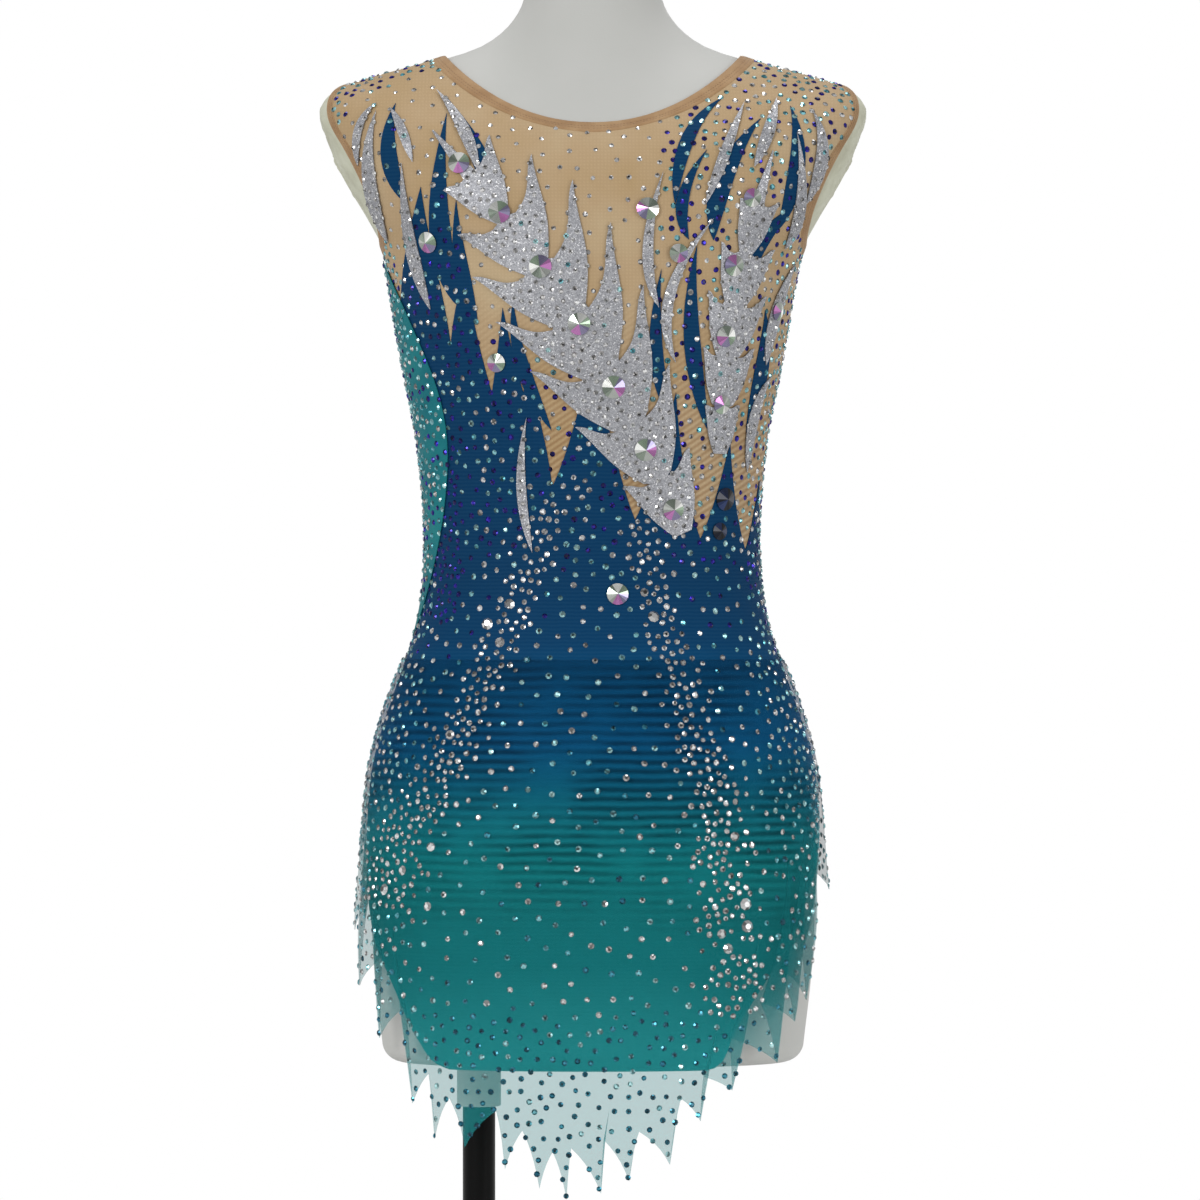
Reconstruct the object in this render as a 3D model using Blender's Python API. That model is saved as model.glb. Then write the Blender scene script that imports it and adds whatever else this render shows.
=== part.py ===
"""Rhythmic gymnastics leotard worn by a limbless dress form on a short stand.

The back of the garment faces -Y. Sizes are in millimetres and are turned into
metres where a mesh is made. A place on the body is given by two coordinates:
turn, the angle round the body from the centre of the back (0) over the right
side (90) to the centre of the front (180), and level, the height at the side
above the underside of the form. Above the underarm the levels dip towards the
middle of the back and front, as a neckline does.
"""

import math

import bmesh
import bpy
from mathutils import Vector

# Overall places and sizes
MM = 0.001
FORM_UNDERSIDE = 280.0      # height of the form's flat underside above the floor
EDGE_ROUNDING = 15.0        # radius round the form's lower edge
SEAM_HALF_GAP = 0.10        # degrees left at each side of a seam
PIECE_GAP = 0.3
CROWN_GAP = 0.7             # between the body's tongues and the yoke

# Distance of each layer of cloth from the form, inner face and outer face
PANEL_LAYER = (2.0, 3.0)
BINDING_LAYER = (1.8, 3.4)
FOIL_LAYER = (4.2, 5.0)
SKIRT_LAYER = (0.0, 1.0)

# Levels of the garment's main lines
SKIRT_SEAM = 301.0
SEAT_LEVEL = 219.0
CROWN_BASE = 365.0
NECK_EDGE = 751.0
NECK_BINDING_WIDTH = 8.0
ARMHOLE_LOW = 612.0
ARMHOLE_TOP = 727.0
ARMHOLE_CUT_BACK = 20.0     # degrees that the armhole reaches onto the back
ARMHOLE_CUT_FRONT = 26.0
ARMHOLE_BINDING = {"low": 9.0, "top": 3.0, "turn": 5.5}

# Sections of the dress form, from the lower edge to the top of the neck
FORM_COLUMNS = ("level", "back_height", "front_height", "half_width", "back", "front", "fullness")
FORM_SECTIONS = (
    (15, 15, 15, 158.0, 103.0, 96.0, 2.30),
    (63, 63, 63, 163.5, 109.0, 98.0, 2.30),
    (105, 105, 105, 166.0, 113.0, 99.0, 2.28),
    (150, 150, 150, 167.0, 116.0, 100.0, 2.25),
    (190, 190, 190, 166.0, 116.5, 100.5, 2.25),
    (219, 219, 219, 163.0, 114.0, 100.0, 2.22),
    (247, 247, 247, 156.0, 109.0, 98.0, 2.20),
    (271, 271, 271, 148.0, 103.0, 96.0, 2.20),
    (300, 300, 300, 138.0, 96.0, 93.0, 2.18),
    (330, 330, 330, 128.5, 90.0, 90.5, 2.16),
    (360, 360, 360, 124.0, 86.5, 89.0, 2.15),
    (395, 395, 395, 123.0, 86.0, 89.5, 2.15),
    (430, 430, 430, 125.0, 89.0, 93.0, 2.15),
    (470, 470, 470, 129.5, 94.0, 100.0, 2.15),
    (513, 513, 513, 138.0, 100.0, 106.5, 2.15),
    (545, 545, 545, 144.0, 103.5, 110.5, 2.15),
    (575, 575, 575, 149.0, 105.5, 112.0, 2.15),
    (607, 607, 607, 156.0, 106.0, 110.0, 2.18),
    (634, 622, 618, 170.0, 105.0, 105.5, 2.22),
    (660, 637, 630, 184.5, 103.0, 99.0, 2.25),
    (688, 653, 641, 197.5, 99.0, 94.0, 2.28),
    (707, 665, 649, 204.0, 95.0, 90.0, 2.28),
    (719, 674, 655, 200.5, 91.0, 87.0, 2.25),
    (727, 681, 660, 190.0, 87.0, 84.5, 2.22),
    (735, 687, 664, 166.0, 82.0, 82.0, 2.20),
    (743, 692, 668, 137.0, 77.0, 79.0, 2.15),
    (751, 697, 673, 110.0, 72.0, 76.0, 2.10),
    (758, 714, 694, 88.0, 62.0, 68.0, 2.05),
    (769, 740, 721, 70.0, 55.0, 60.0, 2.00),
    (783, 768, 753, 57.5, 51.0, 54.0, 2.00),
    (797, 793, 783, 51.5, 50.0, 51.5, 2.00),
    (815, 815, 815, 50.0, 50.0, 50.0, 2.00),
)
CENTRE_DIP_POWER = 1.8      # how a level falls from the shoulder to the centre line

# Sections of the skirt's inner face, which hangs free below the hips
SKIRT_COLUMNS = ("level", "half_width", "back", "front", "fullness")
SKIRT_SECTIONS = (
    (301, 141.8, 99.6, 96.8, 2.18),
    (287, 147.9, 104.6, 100.6, 2.19),
    (271, 154.0, 109.3, 103.4, 2.20),
    (247, 161.6, 114.8, 106.0, 2.20),
    (219, 168.2, 120.0, 108.6, 2.22),
    (184, 172.0, 123.0, 110.0, 2.25),
    (150, 174.6, 124.6, 111.5, 2.25),
    (100, 178.5, 125.6, 113.0, 2.28),
    (50, 176.5, 126.0, 114.0, 2.30),
    (0, 173.0, 126.0, 115.0, 2.30),
    (-50, 170.0, 125.6, 115.0, 2.30),
    (-95, 168.0, 125.0, 115.0, 2.30),
)
HEM_WAVE = {"rise": 4.0, "starts": 150.0, "full": -20.0, "waves": 9.0}

# Lower edge of half a body panel, from the side seam round the leg opening to the centre line,
# as turn from the centre line and level; one row for each line of cloth that runs up from it.
# The garment sits a little turned on the form, so the left edge of the back lies further out.
LEG_BACK_LEFT = (
    (90.0, 168.0), (87.0, 150.0), (82.0, 120.0), (74.0, 91.0), (65.0, 69.0), (58.6, 48.0), (54.4, 30.0),
    (49.0, 14.0), (45.0, 6.0), (41.0, 0.8), (32.0, 0.0), (24.0, 0.0), (16.0, 0.0), (8.0, 0.0), (0.0, 0.0),
)
LEG_BACK_RIGHT = (
    (90.0, 168.0), (83.0, 157.0), (75.0, 140.0), (66.0, 115.0), (57.5, 90.0), (50.0, 70.0), (43.0, 48.0),
    (38.0, 30.0), (35.5, 14.0), (33.8, 6.0), (31.0, 0.8), (24.0, 0.0), (16.0, 0.0), (8.0, 0.0), (0.0, 0.0),
)
LEG_FRONT = (
    (90.0, 168.0), (82.0, 150.0), (73.0, 128.0), (63.0, 104.0), (53.0, 80.0), (44.0, 60.0), (35.0, 42.0),
    (27.0, 28.0), (21.0, 14.0), (17.5, 6.0), (14.5, 0.8), (8.0, 0.0), (0.0, 0.0),
)
# Reach of the crotch piece to the left and to the right, from its back edge to its front edge
GUSSET_REACHES = (
    (107.0, 85.0), (77.0, 64.0), (54.0, 48.0), (41.0, 38.0), (35.0, 34.0), (33.0, 33.0), (35.0, 35.0),
    (39.0, 39.0), (43.0, 43.0),
)
GUSSET_CELLS = 8

# Upper edge of the coloured body: turn and level of each valley, then of the tip of the tongue
# after it, from the left side to the right, with turns from the centre line of back or front
TONGUES_BACK = (
    (-90.0, 508.0, -77.0, 580.0),
    (-64.0, 488.0, -50.0, 584.0),
    (-38.0, 460.0, -25.0, 560.0),
    (-12.0, 430.0, 0.0, 528.0),
    (13.0, 404.0, 25.0, 498.0),
    (38.0, 390.0, 50.0, 462.0),
    (64.0, 382.0, 76.0, 434.0),
)
TONGUES_FRONT = (
    (-90.0, 508.0, -75.0, 576.0),
    (-60.0, 480.0, -45.0, 570.0),
    (-30.0, 446.0, -15.0, 536.0),
    (0.0, 416.0, 14.0, 502.0),
    (30.0, 398.0, 44.0, 466.0),
    (60.0, 386.0, 74.0, 434.0),
)
TONGUE_END = (90.0, 376.0)
MM_PER_DEGREE = 2.0         # about the length round the body of one degree of turn
TONGUE_HOLLOW = {"turn": 0.55, "up": 0.42}    # share of the way from a valley to a tip

# Free edge of the skirt as seen from behind or in front: place across and height of each notch,
# then of the tip of the point after it
HEM_BACK = (
    (-176.0, 142.0, -178.5, 98.0),
    (-166.5, 120.0, -173.0, 58.0),
    (-155.0, 81.0, -157.0, 21.0),
    (-139.0, 46.0, -136.0, -26.0),
    (-121.0, -3.0, -116.0, -50.0),
    (-102.0, -20.0, -91.5, -56.0),
    (-70.5, -29.0, -64.5, -72.0),
    (-52.5, -43.5, -40.0, -86.0),
    (-30.0, -59.0, -19.5, -94.0),
    (-16.0, -56.0, 6.0, -89.0),
    (8.0, -49.5, 26.0, -80.0),
    (33.0, -43.5, 55.5, -68.0),
    (64.0, -20.0, 80.0, -37.0),
    (82.0, -4.5, 104.0, -15.0),
    (101.0, 24.0, 133.5, 4.5),
    (123.0, 49.0, 147.0, 34.0),
    (136.5, 73.0, 158.0, 49.0),
    (150.0, 107.0, 156.0, 90.0),
)
HEM_BACK_END = (161.0, 150.0)
HEM_FRONT = (
    (176.0, 172.0, 178.0, 128.0),
    (163.0, 142.0, 164.0, 104.0),
    (142.0, 114.0, 144.0, 76.0),
    (118.0, 90.0, 120.0, 54.0),
    (92.0, 72.0, 92.0, 38.0),
    (64.0, 58.0, 62.0, 24.0),
    (34.0, 50.0, 30.0, 16.0),
    (4.0, 46.0, -4.0, 13.0),
    (-30.0, 50.0, -38.0, 20.0),
    (-60.0, 58.0, -70.0, 30.0),
    (-92.0, 74.0, -102.0, 46.0),
    (-120.0, 94.0, -130.0, 64.0),
    (-144.0, 118.0, -153.0, 84.0),
    (-163.0, 144.0, -172.0, 104.0),
)
HEM_FRONT_END = (-175.0, 170.0)

# Silver foil sprays: stem from root to top, thin and thick half width of the stem, length of
# each leaf on its upper and lower side, and the angle at which the leaves lean from the stem
FOIL_SPRAYS = {
    "foil_spray_left": {
        "root": (66.0, 392.0), "bend": (-6.0, 560.0), "top": (-118.0, 690.0),
        "half_widths": (3.0, 13.0), "lean": 38.0,
        "leaves_up": (44.0, 62.0, 78.0, 84.0, 78.0, 62.0, 44.0),
        "leaves_down": (34.0, 48.0, 58.0, 60.0, 54.0, 42.0, 30.0),
    },
    "foil_spray_right": {
        "root": (92.0, 452.0), "bend": (94.0, 560.0), "top": (132.0, 676.0),
        "half_widths": (2.0, 8.0), "lean": 28.0,
        "leaves_up": (22.0, 30.0, 34.0, 32.0, 26.0),
        "leaves_down": (20.0, 26.0, 30.0, 28.0, 22.0),
    },
}
STEM_SWELL = 1.15           # above 1, the stem is thickest before its middle
STEM_TAPER = {"loss": 0.8, "power": 6}
LEAF_OUTLINE = ((0.25, 0.74), (0.50, 0.54), (0.75, 0.30))    # share of the length, and of the width

# Large round stones on the back
STONE_COLUMNS = ("across", "height", "diameter", "rests_on", "colour")
LARGE_STONES = (
    (58.0, 412.0, 16.0, "foil", "clear"),
    (38.0, 456.0, 16.5, "foil", "clear"),
    (15.0, 502.0, 17.0, "foil", "clear"),
    (-10.0, 548.0, 16.5, "foil", "clear"),
    (-38.0, 590.0, 17.0, "foil", "clear"),
    (-68.0, 630.0, 16.5, "foil", "clear"),
    (-98.0, 666.0, 16.0, "foil", "clear"),
    (93.0, 490.0, 14.0, "foil", "clear"),
    (96.0, 540.0, 16.0, "foil", "clear"),
    (102.0, 592.0, 16.0, "foil", "clear"),
    (116.0, 642.0, 14.0, "foil", "clear"),
    (18.0, 349.0, 16.0, "panel", "clear"),
    (-120.0, 610.0, 16.0, "panel", "clear"),
    (-70.0, 520.0, 14.0, "panel", "clear"),
    (96.0, 420.0, 17.0, "panel", "dark"),
    (92.0, 396.0, 13.0, "panel", "dark"),
    (40.0, 632.0, 16.5, "panel", "clear"),
    (62.0, 600.0, 14.0, "panel", "clear"),
    (134.0, 560.0, 14.0, "panel", "clear"),
)
STONE_SEATS = {"panel": PANEL_LAYER[1], "foil": FOIL_LAYER[1]}
STONE_CLEARANCE = 0.7
STONE_SIDES = 9
STONE_BACK_SHARE = 0.94     # width of the flat back over the girdle's
STONE_GIRDLE = 0.9
STONE_HEIGHT_SHARE = 0.24

# How finely the pieces are divided
FORM_SIDES = 32
NECK_TOP = 815.0
NECK_ROUNDING = 8.0
FORM_LEVELS = (
    0, 4, 9, 15, 40, 75, 110, 150, 190, 219, 247, 271, 300, 330, 365, 400, 440, 480, 513, 545, 575,
    592, 608, 622, 640, 660, 680, 697, 711, 719, 727, 735, 743, 751, 758, 769, 783, 797, 815, 820, 823,
)
BODY_LEVELS = (219, 247, 271, 300, 330, 365)
SEAT_SHARES = (0.0, 0.012, 0.026, 0.044, 0.069, 0.20, 0.42, 0.70)    # closest at the form's lower edge
CROWN_ROWS = 7
CHEST_ROWS = 6
ARMHOLE_ROWS = 10
SHOULDER_ROWS = 2
NECK_LEVELS_PER_MM = {"side": 0.30, "centre": 1.15}
SKIRT_ROWS = 8
SKIRT_ROW_SPACING = 1.3     # above 1, rows lie closer near the seam
PLACING_STEPS = 40
PROBE_STEP = 0.5            # for the directions at a place, in degrees and in levels
MITRE_LIMIT = 0.1
SHARP_ANGLE = 40.0
MERGE_DISTANCE = 1e-6       # metres

# Stand
POLE_ACROSS = -85.5
POLE_RADIUS = 12.2
SOCKET_RADIUS = 16.5
SOCKET_LENGTH = 34.0
BASE_RADIUS = 165.0
BASE_THICKNESS = 12.0
COLLAR_RADIUS = 21.0
COLLAR_HEIGHT = 22.0
POLE_SIDES = 24
BASE_SIDES = 48
SOCKET_CHAMFER = 1.5
COLLAR_CHAMFER = 2.0
BASE_FOOT_CHAMFER = 1.0
BASE_TOP_ROUND = 5.0
BASE_ROUND_STEPS = 2


def clear_scene():
    for item in list(bpy.data.objects):
        bpy.data.objects.remove(item, do_unlink=True)


def signed_power(value, exponent):
    return math.copysign(abs(value) ** exponent, value)


def section_at(sections, level):
    """Smooth values of every column at a level, between the rows of a table whose levels rise or fall"""
    rows = sorted(sections, key=lambda row: row[0])
    last = len(rows) - 1
    index = 0
    while index < last - 1 and level > rows[index + 1][0]:
        index += 1
    low, high = rows[index], rows[index + 1]
    before, after = rows[max(index - 1, 0)], rows[min(index + 2, last)]
    span = high[0] - low[0]
    share = min(max((level - low[0]) / span, 0.0), 1.0)
    values = [level]
    for column in range(1, len(low)):
        slope_low = (high[column] - before[column]) / (high[0] - before[0]) * span
        slope_high = (after[column] - low[column]) / (after[0] - low[0]) * span
        values.append(
            low[column] * (2 * share ** 3 - 3 * share ** 2 + 1)
            + slope_low * (share ** 3 - 2 * share ** 2 + share)
            + high[column] * (3 * share ** 2 - 2 * share ** 3)
            + slope_high * (share ** 3 - share ** 2)
        )
    return values


def form_section(level):
    inside = min(max(level, EDGE_ROUNDING), NECK_TOP)
    return dict(zip(FORM_COLUMNS, section_at(FORM_SECTIONS, inside)))


def form_surface(turn, level):
    """Point on the bare form, measured from the middle of its underside"""
    row = form_section(level)
    side_height = row["level"]
    inset = 0.0
    if level < EDGE_ROUNDING:
        slope = math.radians(90.0 * level / EDGE_ROUNDING)
        inset = EDGE_ROUNDING * (1.0 - math.sin(slope))
        side_height = EDGE_ROUNDING * (1.0 - math.cos(slope))
        row["back_height"] = side_height
        row["front_height"] = side_height
    elif level > NECK_TOP:
        slope = math.radians(90.0 * (level - NECK_TOP) / NECK_ROUNDING)
        inset = NECK_ROUNDING * (1.0 - math.cos(slope))
        side_height = NECK_TOP + NECK_ROUNDING * math.sin(slope)
        row["back_height"] = side_height
        row["front_height"] = side_height
    sine = math.sin(math.radians(turn))
    cosine = math.cos(math.radians(turn))
    centre_height = row["back_height"] if cosine > 0 else row["front_height"]
    depth = row["back"] if cosine > 0 else row["front"]
    power = 2.0 / row["fullness"]
    across = (row["half_width"] - inset) * signed_power(sine, power)
    along = -(depth - inset) * signed_power(cosine, power)
    dip = (centre_height - side_height) * abs(cosine) ** CENTRE_DIP_POWER
    return (across, along, side_height + dip)


def skirt_surface(turn, level):
    """Point on the skirt's inner face, which waves gently where it hangs free"""
    row = dict(zip(SKIRT_COLUMNS, section_at(SKIRT_SECTIONS, level)))
    sine = math.sin(math.radians(turn))
    cosine = math.cos(math.radians(turn))
    free = (HEM_WAVE["starts"] - level) / (HEM_WAVE["starts"] - HEM_WAVE["full"])
    free = min(max(free, 0.0), 1.0)
    wave = HEM_WAVE["rise"] * free ** 2 * math.sin(math.radians(turn * HEM_WAVE["waves"]))
    depth = row["back"] if cosine > 0 else row["front"]
    power = 2.0 / row["fullness"]
    across = (row["half_width"] + wave) * signed_power(sine, power)
    along = -(depth + wave) * signed_power(cosine, power)
    return (across, along, level)


def local_frame(surface, turn, level):
    """Point with the directions round the body, up the body and straight out"""
    left, right = surface(turn - PROBE_STEP, level), surface(turn + PROBE_STEP, level)
    below, above = surface(turn, level - PROBE_STEP), surface(turn, level + PROBE_STEP)
    round_body = Vector(right) - Vector(left)
    up_body = Vector(above) - Vector(below)
    outward = round_body.cross(up_body).normalized()
    round_body.normalize()
    return Vector(surface(turn, level)), round_body, outward.cross(round_body), outward


def moved_out(surface, turn, level, distance):
    point, _, _, outward = local_frame(surface, turn, level)
    return point + outward * distance


def in_metres(point):
    return Vector((point[0], point[1], point[2] + FORM_UNDERSIDE)) * MM


def turn_of(across, half_width, fullness):
    reach = min(abs(across) / half_width, 1.0)
    return math.copysign(math.degrees(math.asin(reach ** (fullness / 2.0))), across)


def place_on_form(across, height, front=False):
    """Turn and level of a spot given as it is seen from straight behind or in front"""
    column = "front_height" if front else "back_height"
    level = height
    turn = 0.0
    for _ in range(PLACING_STEPS):
        row = form_section(level)
        turn = turn_of(across, row["half_width"], row["fullness"])
        dip = (row["level"] - row[column]) * math.cos(math.radians(turn)) ** CENTRE_DIP_POWER
        level += 0.5 * (height + dip - level)
    if front:
        turn = 180.0 - turn
    return turn, level


def place_on_skirt(across, height, front=False):
    row = dict(zip(SKIRT_COLUMNS, section_at(SKIRT_SECTIONS, height)))
    turn = turn_of(across, row["half_width"], row["fullness"])
    return (180.0 - turn if front else turn), height


class Patch:
    """Flat layout of a cloth piece: places as turn and level, and the faces between them"""

    def __init__(self):
        self.places = []
        self.faces = []

    def add_place(self, place):
        self.places.append(place)
        return len(self.places) - 1

    def add_grid(self, rows, closed=False):
        marks = [[self.add_place(place) for place in row] for row in rows]
        cells = len(rows[0]) if closed else len(rows[0]) - 1
        for lower, upper in zip(marks, marks[1:]):
            for cell in range(cells):
                after = (cell + 1) % len(lower)
                self.faces.append((lower[cell], lower[after], upper[after], upper[cell]))
        return marks

    def add_point(self, base, rows, tip):
        """Pointed shape on an edge: marks of the base, rows of as many places, then the tip"""
        edge = list(base)
        for row in rows:
            marks = [self.add_place(place) for place in row]
            for cell in range(len(edge) - 1):
                self.faces.append((edge[cell], edge[cell + 1], marks[cell + 1], marks[cell]))
            edge = marks
        tip_mark = self.add_place(tip)
        for start, end in zip(edge, edge[1:]):
            self.faces.append((start, end, tip_mark))

    def loose_edges(self):
        counts = {}
        for face in self.faces:
            for start, end in zip(face, face[1:] + face[:1]):
                counts.setdefault(frozenset((start, end)), []).append((start, end))
        return [uses[0] for uses in counts.values() if len(uses) == 1]


def finish_object(name, mesh, material):
    """Turn a closed bmesh into a named, smooth-shaded object"""
    bmesh.ops.recalc_face_normals(mesh, faces=mesh.faces)
    if mesh.calc_volume(signed=True) < 0.0:
        bmesh.ops.reverse_faces(mesh, faces=mesh.faces)
    data = bpy.data.meshes.new(name)
    mesh.to_mesh(data)
    mesh.free()
    data.shade_smooth()
    data.set_sharp_from_angle(angle=math.radians(SHARP_ANGLE))
    data.materials.append(material)
    item = bpy.data.objects.new(name, data)
    bpy.context.scene.collection.objects.link(item)
    return item


def cloth_wall(name, surface, patch, layer, material):
    """Cloth of even thickness: the patch at two distances from the surface, closed round its edge"""
    mesh = bmesh.new()
    inner = [mesh.verts.new(in_metres(moved_out(surface, *place, layer[0]))) for place in patch.places]
    outer = [mesh.verts.new(in_metres(moved_out(surface, *place, layer[1]))) for place in patch.places]
    for face in patch.faces:
        mesh.faces.new([outer[mark] for mark in face])
        mesh.faces.new([inner[mark] for mark in reversed(face)])
    for start, end in patch.loose_edges():
        mesh.faces.new((outer[end], outer[start], inner[start], inner[end]))
    return finish_object(name, mesh, material)


def surface_material(name, colour, roughness, metallic=0.0):
    material = bpy.data.materials.new(name)
    material.use_nodes = True
    shader = material.node_tree.nodes["Principled BSDF"]
    shader.inputs["Base Color"].default_value = (*colour, 1.0)
    shader.inputs["Roughness"].default_value = roughness
    shader.inputs["Metallic"].default_value = metallic
    material.diffuse_color = (*colour, 1.0)
    return material


def spread(start, end, cells):
    return [start + (end - start) * cell / cells for cell in range(cells + 1)]


def blend(start, end, share):
    return start + (end - start) * share


def torso(material):
    """Smooth padded form with plain shoulder caps, a closed neck and a flat underside"""
    mesh = bmesh.new()
    rings = []
    for level in FORM_LEVELS:
        turns = [360.0 * column / FORM_SIDES for column in range(FORM_SIDES)]
        rings.append([mesh.verts.new(in_metres(form_surface(turn, level))) for turn in turns])
    for lower, upper in zip(rings, rings[1:]):
        for column in range(FORM_SIDES):
            after = (column + 1) % FORM_SIDES
            mesh.faces.new((lower[column], lower[after], upper[after], upper[column]))
    mesh.faces.new(list(reversed(rings[0])))
    mesh.faces.new(rings[-1])
    return finish_object("form_torso", mesh, material)


def leg_edge(left_outline, right_outline, front):
    """Whole lower edge of a body panel, from one side seam to the other"""
    reach = 90.0 - SEAM_HALF_GAP
    left = [(-min(turn, reach), level) for turn, level in left_outline]
    right = [(min(turn, reach), level) for turn, level in reversed(right_outline[:-1])]
    return [(180.0 - turn if front else turn, level) for turn, level in left + right]


def crown_outline(tongues):
    """Upper edge of the body, with one more point on each side of a tongue to hollow it"""
    corners = []
    for valley_turn, valley_level, tip_turn, tip_level in tongues:
        corners += [Vector((valley_turn, valley_level)), Vector((tip_turn, tip_level))]
    corners.append(Vector(TONGUE_END))
    outline = [corners[0]]
    for start, end in zip(corners, corners[1:]):
        low, high = (start, end) if start.y < end.y else (end, start)
        turn = blend(low.x, high.x, TONGUE_HOLLOW["turn"])
        outline.append(Vector((turn, blend(low.y, high.y, TONGUE_HOLLOW["up"]))))
        outline.append(end)
    return outline


def moved_up(outline, distance):
    """The same edge moved upwards at right angles to itself, with mitred corners"""
    flat = [Vector((point.x * MM_PER_DEGREE, point.y)) for point in outline]
    normals = []
    for start, end in zip(flat, flat[1:]):
        along = (end - start).normalized()
        normals.append(Vector((-along.y, along.x)))
    moved = [flat[0] + Vector((0.0, distance))]
    for point, before, after in zip(flat[1:-1], normals, normals[1:]):
        middle = (before + after).normalized()
        moved.append(point + middle * (distance / max(middle.dot(after), MITRE_LIMIT)))
    moved.append(flat[-1] + Vector((0.0, distance)))
    return [Vector((point.x / MM_PER_DEGREE, point.y)) for point in moved]


def panel_crown(tongues, front, gap):
    """Places of the body's upper edge, or of the yoke's lower edge a gap above it"""
    outline = crown_outline(tongues)
    if gap:
        outline = moved_up(outline, gap)
    reach = 90.0 - SEAM_HALF_GAP
    turns = [min(max(point.x, -reach), reach) for point in outline]
    return [(180.0 - turn if front else turn, point.y) for turn, point in zip(turns, outline)]


def body_panel(name, tongues, leg_outlines, front, material):
    """Lycra body panel: leg edge below, side seams, and a crown of flame tongues above"""
    crown = panel_crown(tongues, front, 0.0)
    angles = spread(crown[0][0], crown[-1][0], len(crown) - 1)
    rows = []
    for share in SEAT_SHARES:
        rows.append([
            (blend(low[0], angle, share), blend(low[1], SEAT_LEVEL, share))
            for angle, low in zip(angles, leg_edge(*leg_outlines, front))
        ])
    rows += [[(angle, level) for angle in angles] for level in BODY_LEVELS]
    for row in range(1, CROWN_ROWS + 1):
        share = row / CROWN_ROWS
        rows.append([
            (blend(angle, top[0], share), blend(CROWN_BASE, top[1], share))
            for angle, top in zip(angles, crown)
        ])
    patch = Patch()
    patch.add_grid(rows)
    return cloth_wall(name, form_surface, patch, PANEL_LAYER, material)


def gusset(material):
    """Crotch piece: a flat strip under the form that narrows between the legs"""
    row = form_section(EDGE_ROUNDING)
    inset = EDGE_ROUNDING + PIECE_GAP
    width = row["half_width"] - inset
    fullness = row["fullness"]
    last = len(GUSSET_REACHES) - 1
    mesh = bmesh.new()
    faces_at = {}
    for side, distance in zip(("upper", "lower"), PANEL_LAYER):
        grid = []
        for index, (left, right) in enumerate(GUSSET_REACHES):
            line = []
            for across in spread(-left, right, GUSSET_CELLS):
                curve = (1.0 - abs(across / width) ** fullness) ** (1.0 / fullness)
                along = blend(-(row["back"] - inset) * curve, (row["front"] - inset) * curve, index / last)
                line.append(mesh.verts.new(in_metres((across, along, -distance))))
            grid.append(line)
        faces_at[side] = grid
    upper, lower = faces_at["upper"], faces_at["lower"]
    for grid in (upper, lower):
        for near, far in zip(grid, grid[1:]):
            for cell in range(GUSSET_CELLS):
                mesh.faces.new((near[cell], near[cell + 1], far[cell + 1], far[cell]))
    rim = [(0, cell) for cell in range(GUSSET_CELLS)] + [(line, GUSSET_CELLS) for line in range(last)]
    rim += [(last, cell) for cell in range(GUSSET_CELLS, 0, -1)] + [(line, 0) for line in range(last, 0, -1)]
    upper_rim = [upper[line][cell] for line, cell in rim]
    lower_rim = [lower[line][cell] for line, cell in rim]
    for start in range(len(rim)):
        end = (start + 1) % len(rim)
        mesh.faces.new((upper_rim[start], upper_rim[end], lower_rim[end], lower_rim[start]))
    return finish_object("body_gusset", mesh, material)


def neck_low_level(turn, width):
    """Level that lies a given width of cloth below the neck edge"""
    share = abs(math.cos(math.radians(turn))) ** CENTRE_DIP_POWER
    return NECK_EDGE - width * blend(NECK_LEVELS_PER_MM["side"], NECK_LEVELS_PER_MM["centre"], share)


def armhole_place(angle, grow, side):
    """Spot on the armhole's edge, an oval round the side that grows by whole binding widths"""
    middle = 0.5 * (ARMHOLE_LOW + ARMHOLE_TOP)
    sine = math.sin(math.radians(angle))
    cosine = math.cos(math.radians(angle))
    if sine > 0:
        level = middle + (ARMHOLE_TOP - middle + ARMHOLE_BINDING["top"] * grow) * sine
    else:
        level = middle + (middle - ARMHOLE_LOW + ARMHOLE_BINDING["low"] * grow) * sine
    cut = ARMHOLE_CUT_BACK if cosine > 0 else ARMHOLE_CUT_FRONT
    turn = 90.0 - (cut + ARMHOLE_BINDING["turn"] * grow) * cosine
    return side * turn, level


def yoke_panel(name, tongues, front, material):
    """Mesh panel from the body's crown to the neck binding, cut away at the armholes"""
    crown = panel_crown(tongues, front, CROWN_GAP)
    cells = len(crown) - 1
    reach = 90.0 - SEAM_HALF_GAP
    grow = 1.0 + PIECE_GAP / ARMHOLE_BINDING["low"]
    upper_rows = []
    for angle in spread(-90.0, 90.0, ARMHOLE_ROWS):
        turn, level = armhole_place(180.0 - angle if front else angle, grow, 1.0)
        edge = min(180.0 - turn if front else turn, reach)
        upper_rows.append([(edge * share, level) for share in spread(-1.0, 1.0, cells)])
    top_level = upper_rows[-1][0][1]
    for row in range(1, SHOULDER_ROWS + 1):
        places = []
        for share in spread(-1.0, 1.0, cells):
            turn = reach * share
            end = neck_low_level(180.0 - turn if front else turn, NECK_BINDING_WIDTH + PIECE_GAP)
            places.append((turn, blend(top_level, end, row / SHOULDER_ROWS)))
        upper_rows.append(places)
    if front:
        upper_rows = [[(180.0 - turn, level) for turn, level in row] for row in upper_rows]
    rows = []
    for row in range(CHEST_ROWS):
        share = row / CHEST_ROWS
        rows.append([
            (blend(low[0], high[0], share), blend(low[1], high[1], share))
            for low, high in zip(crown, upper_rows[0])
        ])
    patch = Patch()
    patch.add_grid(rows + upper_rows)
    return cloth_wall(name, form_surface, patch, PANEL_LAYER, material)


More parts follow.
